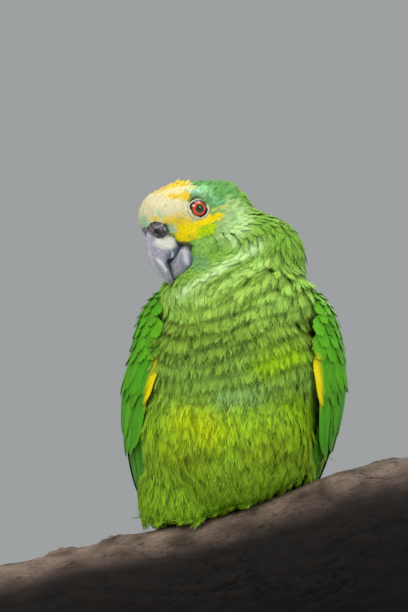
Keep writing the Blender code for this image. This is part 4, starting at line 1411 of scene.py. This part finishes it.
def upper_bill_colour(local):
    left = folded(local)
    streaks = ripple(left * (1, 2.2, 0.35), 0.0022, 5)
    colours = mixed(HORN_GREY, HORN_PALE, np.clip(0.35 + 0.35 * streaks, 0, 1))
    ridge = 1 - smoothstep(0.0005, 0.0030, left[:, 1])
    outward = np.linalg.norm((local - np.array(CULMEN_CENTRE))[:, [0, 2]], axis=1) / CULMEN_RADIUS
    colours = mixed(colours, np.array(HORN_PALE) * 1.15, 0.6 * ridge * smoothstep(0.9, 1.0, outward))
    patch = ((1, 7, -8.5), (-3.5, 8.5, -11.5), (4.0, 5, 3.6), 0.4, HORN_CREAM)
    colours = marked(colours, left, [patch], ripple(left, 0.003, 6))
    # The side is slate along the cutting edge and the tooth, with pale lines of painted highlight by the
    # tooth and down the ridge, and darker at the tip.
    shades = [
        ((-9, 9, -14.5), (-5, 8, -18), (3.0, 5, 2.6), 0.9, HORN_SLATE),
        ((-4, 7, -19), (-1, 5, -24), (2.6, 5, 3.4), 0.9, HORN_SLATE),
        ((0.4, 6.5, -17.6), (2.6, 5, -22.5), (2.0, 5, 2.4), 0.8, HORN_SLATE),
        ((-1.9, 6.5, -17.2), (-0.7, 5.5, -20.2), (0.7, 4, 1.0), 0.6, (0.72, 0.71, 0.75)),
        ((6.8, 4.5, -17.4), (4.3, 3.5, -25), (0.8, 4, 0.8), 0.7, (0.68, 0.67, 0.72)),
        ((1, 1, -37), (1, 1, -37), (4, 4, 5), 0.6, (0.18, 0.18, 0.22)),
    ]
    return marked(colours, left, shades, ripple(left, 0.003, 16))


def lower_bill_colour(local):
    left = folded(local)
    streaks = np.clip(0.28 + 0.35 * ripple(left * (0.5, 2.0, 0.6), 0.002, 7), 0, 1)
    colours = mixed(np.array(HORN_GREY)[None] * 0.8, HORN_PALE, streaks)
    # A painted highlight makes the rim of the cutting edge pale, and painted shade darkens the side behind
    # it.
    shades = [
        ((-14, 9, -24), (-9, 7, -29), (3.4, 4, 5.0), 0.9, HORN_SLATE),
        ((-9.5, 10.5, -17), (-8, 8.5, -25), (1.3, 2.4, 2.0), 0.9, (0.62, 0.60, 0.66)),
    ]
    return marked(colours, left, shades, ripple(left, 0.003, 17))


def way_out(start, ways, centre, radii):
    """How far each way from start leaves an ellipsoid, or 0 where it misses."""
    near = (np.array(start) - centre) / radii
    step = ways / radii
    a, b, c = (step * step).sum(axis=1), (step * near).sum(axis=1), near @ near - 1
    inside = np.maximum(b * b - a * c, 0)
    return np.where(b * b > a * c, np.maximum(np.sqrt(inside) - b, 0) / a, 0)


def make_cere(finish):
    """The bare skin over the bill's root, with two nostrils."""
    around, rings = 80, 50
    polar = np.repeat(np.pi * (np.arange(rings) + 0.5) / rings, around)
    turn = np.tile(2 * np.pi * np.arange(around) / around, rings)
    way = np.stack([np.sin(polar) * np.cos(turn), np.sin(polar) * np.sin(turn), np.cos(polar)], axis=1)
    swells = [CERE_BAND, *CERE_SWELLINGS]
    reach = sum(way_out(CERE_BAND[0], way, centre, radii) ** 10 for centre, radii in swells) ** 0.1
    points = np.array(CERE_BAND[0]) + way * reach[:, None]
    left = folded(points)
    on_front = points[:, 0] > CERE_BAND[0][0]
    from_nostril = np.linalg.norm((left - np.array(NOSTRIL))[:, 1:] * (1, 0.75), axis=1) / NOSTRIL_RADIUS
    hole = np.where(on_front, 1 - smoothstep(0.6, 1.05, from_nostril), 0)
    rim = np.where(on_front, np.exp(-(((from_nostril - 1.45) / 0.35) ** 2)), 0)
    wrinkle = ripple(points * (1, 1, 2.0), 0.0026, 8)
    pores = ripple(points, 0.0011, 18)
    points = points + way * (0.0003 * rim - 0.0014 * hole + 0.00022 * wrinkle + 0.00009 * pores)[:, None]
    faces = ring_faces(rings, around, True, True)
    made = mesh_object("cere_skin", moved(points, bill_frame()), faces, finish)
    turn_outwards(made)
    # Pale flecks follow the raised wrinkles and pores: partly the skin's own mottling, partly painted
    # highlight on the ridges.
    fleck = np.clip(0.25 + 0.8 * wrinkle + 0.45 * pores, 0, 1)
    colours = mixed((0.045, 0.037, 0.045), (0.38, 0.33, 0.36), fleck)
    # A painted shadow darkens the skin behind and under the nostril.
    nostril_shadow = np.exp(-(from_centre(left, (0.001, 0.0086, -0.0048), (0.004, 0.0026, 0.0030)) ** 2))
    colours = mixed(colours, (0.014, 0.012, 0.014), 0.85 * nostril_shadow)
    # The nostril is a shallow dent painted near black: painted shade inside the hole.
    paint(made, mixed(colours, (0.003, 0.003, 0.003), hole))
    return body_piece(made, "bare_skin", "cere")


# ---------------------------------------------------------------- feet and claws


def make_foot(name, node, finish):
    """The scaly foot: the solid softened, with scutes across the toes and the leg."""
    foot = melted(f"{name}_skin", [node], 0.0006, 3)
    points = vertices_of(foot)
    body = in_crest(points)
    around = np.arctan2(body[:, 1], body[:, 2] + 0.040)
    rings = np.sin(around * 0.045 / 0.0016 * 6.283 / 2) + 0.6 * np.sin(body[:, 2] / 0.0016 * 3.14)
    scutes = np.clip(np.abs(rings), 0, 1) ** 0.5 - 0.7
    reshaped(foot, points + vertices_of(foot, "normal") * (0.00022 * scutes)[:, None], finish)
    worn = np.clip(0.6 + scutes, 0, 1)
    colours = mixed((0.10, 0.10, 0.10), (0.30, 0.29, 0.28), worn)
    paint(foot, colours * (1 + 0.15 * ripple(body, 0.006, 12))[:, None])
    return body_piece(foot, "scaly_skin", name)


# ---------------------------------------------------------------- branch


def perch_crest(x):
    """Height of the crest of the branch, which sags a little under the bird."""
    return PERCH_SLOPE * x + PERCH_SADDLE * (0.75 - np.exp(-((x / 0.05) ** 2)))


def perch_radius(x):
    """The branch's radius, which changes evenly from one end to the other."""
    share = (x - PERCH_ENDS[0]) / (PERCH_ENDS[1] - PERCH_ENDS[0])
    return PERCH_RADII[0] + (PERCH_RADII[1] - PERCH_RADII[0]) * share


def perch_heart(x):
    """The middle of the branch: one row for each x."""
    return np.stack([x, 0 * x, perch_crest(x) - perch_radius(x) * (1 + PERCH_SLOPE**2)], axis=-1)


def perch_surface(x, angle, lift):
    """Points on the branch in the crest frame, angle round from the crest towards the back."""
    uneven = 1 + 0.022 * np.sin(2 * angle + 25 * x + 0.4) + 0.014 * np.sin(3 * angle - 60 * x)
    out = perch_radius(x) * uneven + lift
    way = np.stack([-PERCH_SLOPE * np.cos(angle), np.sin(angle), np.cos(angle)], axis=-1)
    return perch_heart(x) + way * out[..., None]


# Knots and lumps: place along the branch, angle, reach in metres, height.
KNOTS = [
    (-0.089, -0.15, 0.010, 0.0030),
    (-0.060, -0.10, 0.008, 0.0022),
    (-0.052, -0.35, 0.009, 0.0020),
    (-0.122, 0.30, 0.010, 0.0018),
    (0.072, -0.55, 0.016, 0.0030),
    (0.098, 0.10, 0.010, 0.0020),
    (0.020, -1.60, 0.012, 0.0024),
    (-0.030, 2.20, 0.014, 0.0030),
    (0.060, 2.90, 0.012, 0.0026),
]


def grain(points, stretch, seed):
    """Smooth noise from about -1 to 1, drawn out along the branch."""
    offset = Vector((seed * 7.1, seed * 3.3, seed * 1.7))
    scaled = points * np.array(stretch)
    return np.array([noise.noise(Vector(p) + offset) for p in scaled])


BARK_DARK, BARK_PALE = (0.032, 0.021, 0.015), (0.105, 0.072, 0.052)
WORN_AND_LIT_PALE, CRACK_SHADE = (0.33, 0.235, 0.185), (0.018, 0.014, 0.012)
WOOD_PALE, WOOD_DARK, CUT_RIM = (0.42, 0.30, 0.18), (0.26, 0.17, 0.10), (0.06, 0.045, 0.035)


def make_perch(finish):
    """The branch: bark with long cracks, ridges and knots, and two cut ends with rings."""
    along, around = 300, 260
    x = np.repeat(np.linspace(*PERCH_ENDS, along), around)
    angle = np.tile(np.arange(around) * 2 * np.pi / around, along)
    # Bark is described on the branch unrolled, and so it doesn't pinch at any side.
    unrolled = np.stack([x, 0.042 * np.cos(angle), 0.042 * np.sin(angle)], axis=1)
    swirl = unrolled + 0.003 * grain(unrolled, (30, 30, 30), 1)[:, None]
    plates = grain(swirl, (75, 200, 200), 2)
    fibres = grain(swirl, (330, 900, 900), 3)
    cracks = 1 - np.clip(np.abs(grain(swirl, (45, 190, 190), 4)) / 0.07, 0, 1)
    cracks = cracks * smoothstep(-0.2, 0.3, grain(unrolled, (20, 60, 60), 6))
    worn = smoothstep(0.25, 0.9, np.cos(angle))
    lift = 0.0008 * plates * (1 - 0.5 * worn) + 0.00025 * fibres - 0.0016 * cracks * (1 - 0.45 * worn)
    knot_shade = np.zeros(len(x))
    for knot_x, knot_angle, reach, height in KNOTS:
        turn = np.angle(np.exp(1j * (angle - knot_angle)))
        far = np.hypot(x - knot_x, 0.040 * turn) / reach
        lift += height * np.exp(-(far**2)) * (1 + 0.25 * np.cos(far * 9))
        knot_shade += np.exp(-((far - 0.8) ** 2) / 0.05)
    clear = np.hypot(x / 0.055, 0.040 * np.angle(np.exp(1j * (angle - 0.8))) / 0.05)
    lift *= lerp(0.25, 1.0, smoothstep(0.6, 1.1, clear))  # smooth under the toes
    ends = np.minimum(x - PERCH_ENDS[0], PERCH_ENDS[1] - x)
    lift = lift - 0.0012 * (1 - smoothstep(0.0, 0.0025, ends))
    points = perch_surface(x, angle, lift)
    faces = ring_faces(along, around)
    pale = 0.5 + 0.5 * np.tanh(1.5 * plates + 1.6 * fibres)
    colours = mixed(BARK_DARK, BARK_PALE, pale)
    # The top of the branch is paler: partly wear, partly painted light from above; towards +x the paleness is
    # cut back as painted shade.
    crest = worn * np.clip(0.45 + 0.6 * grain(unrolled, (60, 90, 90), 5), 0, 1)
    crest = crest * (1 - 0.4 * smoothstep(0.02, 0.10, x))
    colours = mixed(colours, WORN_AND_LIT_PALE, 0.85 * crest)
    # The cracks and the rings round the knots are darkened: painted shade in the hollows.
    shaded = np.clip(0.85 * cracks + 0.35 * knot_shade, 0, 0.9)
    colours = mixed(colours, CRACK_SHADE, shaded)
    # Everything away from the top of the branch is darkened: painted shade on its underside and sides.
    low = smoothstep(-0.95, -0.50, -np.cos(angle))
    colours = colours * (1 - 0.93 * low)[:, None]
    all_points, all_colours = [points], [colours]
    start = len(points)
    # The cut ends: rings of a saw cut, from the bark to the heart.
    rings = 26
    for end, first in ((0, True), (1, False)):
        row = slice(0, around) if first else slice((along - 1) * around, along * around)
        rim = points[row]
        heart = perch_heart(np.array([PERCH_ENDS[end]]))[0]
        spread = np.linspace(0.985, 0.02, rings)
        cap = heart + (rim[None] - heart) * spread[:, None, None]
        saw = 0.00015 * np.sin(cap[..., 2] * 2600)
        cap[..., 0] += saw * (1 if first else -1)
        growth = 0.5 + 0.5 * np.sin(spread * 95 + 1.5 * np.sin(spread * 11))
        shade = np.repeat(growth[:, None], around, axis=1)
        wood = mixed(WOOD_PALE, WOOD_DARK, shade)
        wood[0] = CUT_RIM
        all_points.append(cap.reshape(-1, 3))
        all_colours.append(wood.reshape(-1, 3))
        rim_start = row.start
        for j in range(around):
            k = (j + 1) % around
            faces.append((rim_start + j, start + j, start + k, rim_start + k))
        faces += [tuple(start + i for i in face) for face in ring_faces(rings, around, False, True)]
        start += rings * around
    points = np.concatenate(all_points) + np.array(CREST)
    made = mesh_object("perch_bark", points, faces, finish)
    turn_outwards(made)
    paint(made, np.concatenate(all_colours))
    return body_piece(made, "bark", "perch")


# ---------------------------------------------------------------- finishes


def shader(name, roughness, **sockets):
    """A new Principled material, its node tree and its shader, whose sockets take these constants."""
    made = bpy.data.materials.new(name)
    made.use_nodes = True
    tree = made.node_tree
    principled = tree.nodes["Principled BSDF"]
    principled.inputs["Roughness"].default_value = roughness
    for key, value in sockets.items():
        principled.inputs[key.replace("_", " ")].default_value = value
    return made, tree, principled


def add(tree, kind, inputs=(), **settings):
    """A new node with these settings; inputs are pairs of a socket's name and a value or another socket."""
    node = tree.nodes.new(kind)
    for key, value in settings.items():
        setattr(node, key, value)
    for key, value in inputs:
        if isinstance(value, bpy.types.NodeSocket):
            tree.links.new(value, node.inputs[key])
        else:
            node.inputs[key].default_value = value
    return node


def noise_of(tree, scale, detail=4.0, stretch=(1, 1, 1)):
    """Fine noise in the piece's own space."""
    place = add(tree, "ShaderNodeTexCoord")
    mapping = add(tree, "ShaderNodeMapping", [("Vector", place.outputs["Object"]), ("Scale", stretch)])
    inputs = [("Vector", mapping.outputs["Vector"]), ("Scale", scale), ("Detail", detail)]
    return add(tree, "ShaderNodeTexNoise", inputs).outputs["Fac"]


def ranged(tree, value, low, high):
    """The noise's usual span, 0.3 to 0.7, laid onto low to high."""
    inputs = [("Value", value), ("From Min", 0.3), ("From Max", 0.7), ("To Min", low), ("To Max", high)]
    return add(tree, "ShaderNodeMapRange", inputs).outputs["Result"]


def relieved(tree, principled, height, strength, distance):
    """Raises a fine relief by this height."""
    inputs = [("Height", height), ("Strength", strength), ("Distance", distance)]
    bump = add(tree, "ShaderNodeBump", inputs)
    tree.links.new(bump.outputs["Normal"], principled.inputs["Normal"])


def toned_finish(name, roughness, grain_of, low, high, rough=None, relief=None, **sockets):
    """A finish of two tones mixed by fine noise, which can also vary its roughness and raise a relief."""
    made, tree, principled = shader(name, roughness, **sockets)
    fine = noise_of(tree, *grain_of)
    colour = add(tree, "ShaderNodeMix", [("A", (*low, 1)), ("B", (*high, 1))], data_type="RGBA")
    tree.links.new(fine, colour.inputs["Factor"])
    tree.links.new(colour.outputs["Result"], principled.inputs["Base Color"])
    if rough:
        tree.links.new(ranged(tree, fine, *rough), principled.inputs["Roughness"])
    if relief:
        relieved(tree, principled, fine, *relief)
    return made


def painted_finish(name, roughness, spread, fleck_scale, fleck, bump, stretch=(1, 1, 1), **sockets):
    """A finish that takes the piece's own painted colours, flecked and bumped by fine noise.

    spread: how far the roughness varies; fleck: how far the colour does; bump: the height of the fine relief.
    """
    made, tree, principled = shader(name, roughness, **sockets)
    paint_node = add(tree, "ShaderNodeAttribute", attribute_name="plume")
    fine = noise_of(tree, fleck_scale, 5.0, stretch)
    shade = ranged(tree, fine, 1 - fleck, 1 + fleck)
    colour = add(tree, "ShaderNodeVectorMath", [(0, paint_node.outputs["Color"])], operation="SCALE")
    tree.links.new(shade, colour.inputs["Scale"])
    tree.links.new(colour.outputs["Vector"], principled.inputs["Base Color"])
    tree.links.new(ranged(tree, fine, roughness - spread, roughness + spread), principled.inputs["Roughness"])
    relieved(tree, principled, fine, 0.5, bump)
    return made


def restyle(node, finish):
    """Puts this finish in every material slot of a CAD node."""
    for slot in node.material_slots:
        slot.material = finish


# ---------------------------------------------------------------- stage


CAMERA_TARGET = Vector((-0.018, 0.0, 0.2483))
CAMERA_DISTANCE = 2.0
CAMERA_ELEVATION = math.radians(-5)
VIEW_HEIGHT = 0.355  # of the picture at the target
SENSOR = 36.0


def aim(obj, target):
    """Turns a light or the camera to look at target."""
    way = target - obj.location
    obj.rotation_euler = way.to_track_quat("-Z", "Y").to_euler()


def make_camera():
    """The photograph's view, from a little below the bird's level."""
    data = bpy.data.cameras.new("camera")
    data.sensor_width = SENSOR
    data.sensor_fit = "AUTO"
    data.lens = SENSOR * CAMERA_DISTANCE / VIEW_HEIGHT
    data.clip_start = 0.05
    camera = linked("camera", data)
    back = Vector((0, -math.cos(CAMERA_ELEVATION), math.sin(CAMERA_ELEVATION)))
    camera.location = CAMERA_TARGET + back * CAMERA_DISTANCE
    aim(camera, CAMERA_TARGET)
    bpy.context.scene.camera = camera


# Soft boxes: place, size, power in watts, colour.
LIGHTS = {
    "key": ((-0.75, -1.15, 1.35), 0.8, 15.8, (1.0, 0.98, 0.94)),
    "top": ((0.15, 0.10, 1.60), 1.2, 13.0, (1.0, 1.0, 1.0)),
    "fill": ((1.20, -0.90, 0.70), 1.0, 3.0, (0.94, 0.97, 1.0)),
    "back": ((0.40, 1.30, 1.00), 1.0, 8.0, (1.0, 1.0, 1.0)),
    "eye": ((1.12, -1.30, 1.06), 0.42, 6.0, (0.95, 0.98, 1.0)),
}
LIGHTS_TARGET = Vector((0, 0, 0.22))
SURROUNDINGS = (0.62, 0.64, 0.65, 1), 0.55  # colour and strength
FLOOR_REACH = 4.0


def make_stage():
    """The soft boxes, the grey surroundings and the floor."""
    for name, (place, size, power, colour) in LIGHTS.items():
        data = bpy.data.lights.new(name, "AREA")
        data.shape = "DISK"
        data.size = size
        data.energy = power
        data.color = colour
        light = linked(name, data)
        light.location = place
        aim(light, LIGHTS_TARGET)
    world = bpy.data.worlds.new("studio")
    world.use_nodes = True
    for name, value in zip(("Color", "Strength"), SURROUNDINGS):
        world.node_tree.nodes["Background"].inputs[name].default_value = value
    bpy.context.scene.world = world
    bpy.context.scene.view_settings.view_transform = "Standard"
    finish = toned_finish("floor_paint", 0.8, (3, 4.0), (0.60, 0.61, 0.61), (0.64, 0.64, 0.63))
    corners = [(x * FLOOR_REACH, y * FLOOR_REACH, 0) for x, y in ((-1, -1), (1, -1), (1, 1), (-1, 1))]
    floor = mesh_object("floor", corners, [(0, 1, 2, 3)], finish, smooth=False)


# ---------------------------------------------------------------- assembly


def main():
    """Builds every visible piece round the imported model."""
    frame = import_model()
    nodes = frame["nodes"]
    make_camera()
    make_stage()

    soft = painted_finish("soft_plumage", 0.72, 0.10, 1500, 0.10, 0.00008, Specular_IOR_Level=0.14)
    sleek = painted_finish("sleek_plumage", 0.60, 0.10, 1200, 0.10, 0.00008, Specular_IOR_Level=0.15)
    horn = painted_finish("bill_horn", 0.38, 0.10, 900, 0.16, 0.00010, Coat_Weight=0.15, Coat_Roughness=0.3)
    bare = painted_finish("bare_skin", 0.55, 0.08, 2200, 0.14, 0.00015)
    wet = painted_finish(
        "wet_eye", 0.30, 0.05, 2600, 0.12, 0.00002,
        Coat_Weight=1.0, Coat_Roughness=0.02, Specular_IOR_Level=0.1,
    )
    scaly = painted_finish("scaly_skin", 0.60, 0.08, 1600, 0.15, 0.00020)
    bark = painted_finish("bark", 0.88, 0.08, 700, 0.30, 0.00060, (0.45, 1, 1), Specular_IOR_Level=0.25)

    flesh = [nodes[name] for name in FLESH_NODES]
    wings = [nodes["wing_left"], nodes["wing_right"]]
    horns = [nodes[name] for name in ("bill_upper", "bill_lower")]
    make_skin(flesh, soft)
    surface = melted("surface", [*flesh, *wings, nodes["tail"], nodes["cere"]], 0.0016, 8)
    flesh_tree = tree_of(flesh)
    wing_tree = tree_of([*wings, nodes["tail"]])
    horn_tree = tree_of(horns)
    body_coat(surface, flesh_tree, wing_tree, horn_tree, soft)
    surface_tree = tree_of([surface])
    bpy.data.objects.remove(surface)

    for word, side in (("left", 1), ("right", -1)):
        wing_coat(f"wing_{word}_plumage", side, f"wing_{word}", sleek)
        make_eye(f"eye_{word}", side, wet)
        make_lids(f"lids_{word}", side, surface_tree, bare)
        make_foot(f"foot_{word}", nodes[f"foot_{word}"], scaly)
    tail_coat(sleek)
    make_upper_bill(horn)
    make_lower_bill(horn)
    make_cere(bare)
    make_perch(bark)

    # The claws and the stand keep the meshes of the CAD model, and take a finish of their own.
    finishes = {
        "claw_": toned_finish(
            "claw_horn", 0.32, (500, 4.0, (1, 1, 0.3)), (0.022, 0.021, 0.022), (0.075, 0.070, 0.066),
            (0.24, 0.40), Specular_IOR_Level=0.5,
        ),
        "stand_rod": toned_finish(
            "brushed_steel", 0.35, (60, 6.0, (12, 12, 0.4)), (0.40, 0.40, 0.41), (0.56, 0.56, 0.57),
            (0.28, 0.42), Metallic=1.0,
        ),
        "stand_base": toned_finish(
            "charcoal_paint", 0.55, (900, 3.0), (0.040, 0.040, 0.044), (0.062, 0.062, 0.068),
            (0.48, 0.62), (0.4, 0.0002), Specular_IOR_Level=0.4,
        ),
    }
    for name, node in nodes.items():
        for start, finish in finishes.items():
            if name.startswith(start):
                restyle(node, finish)


main()
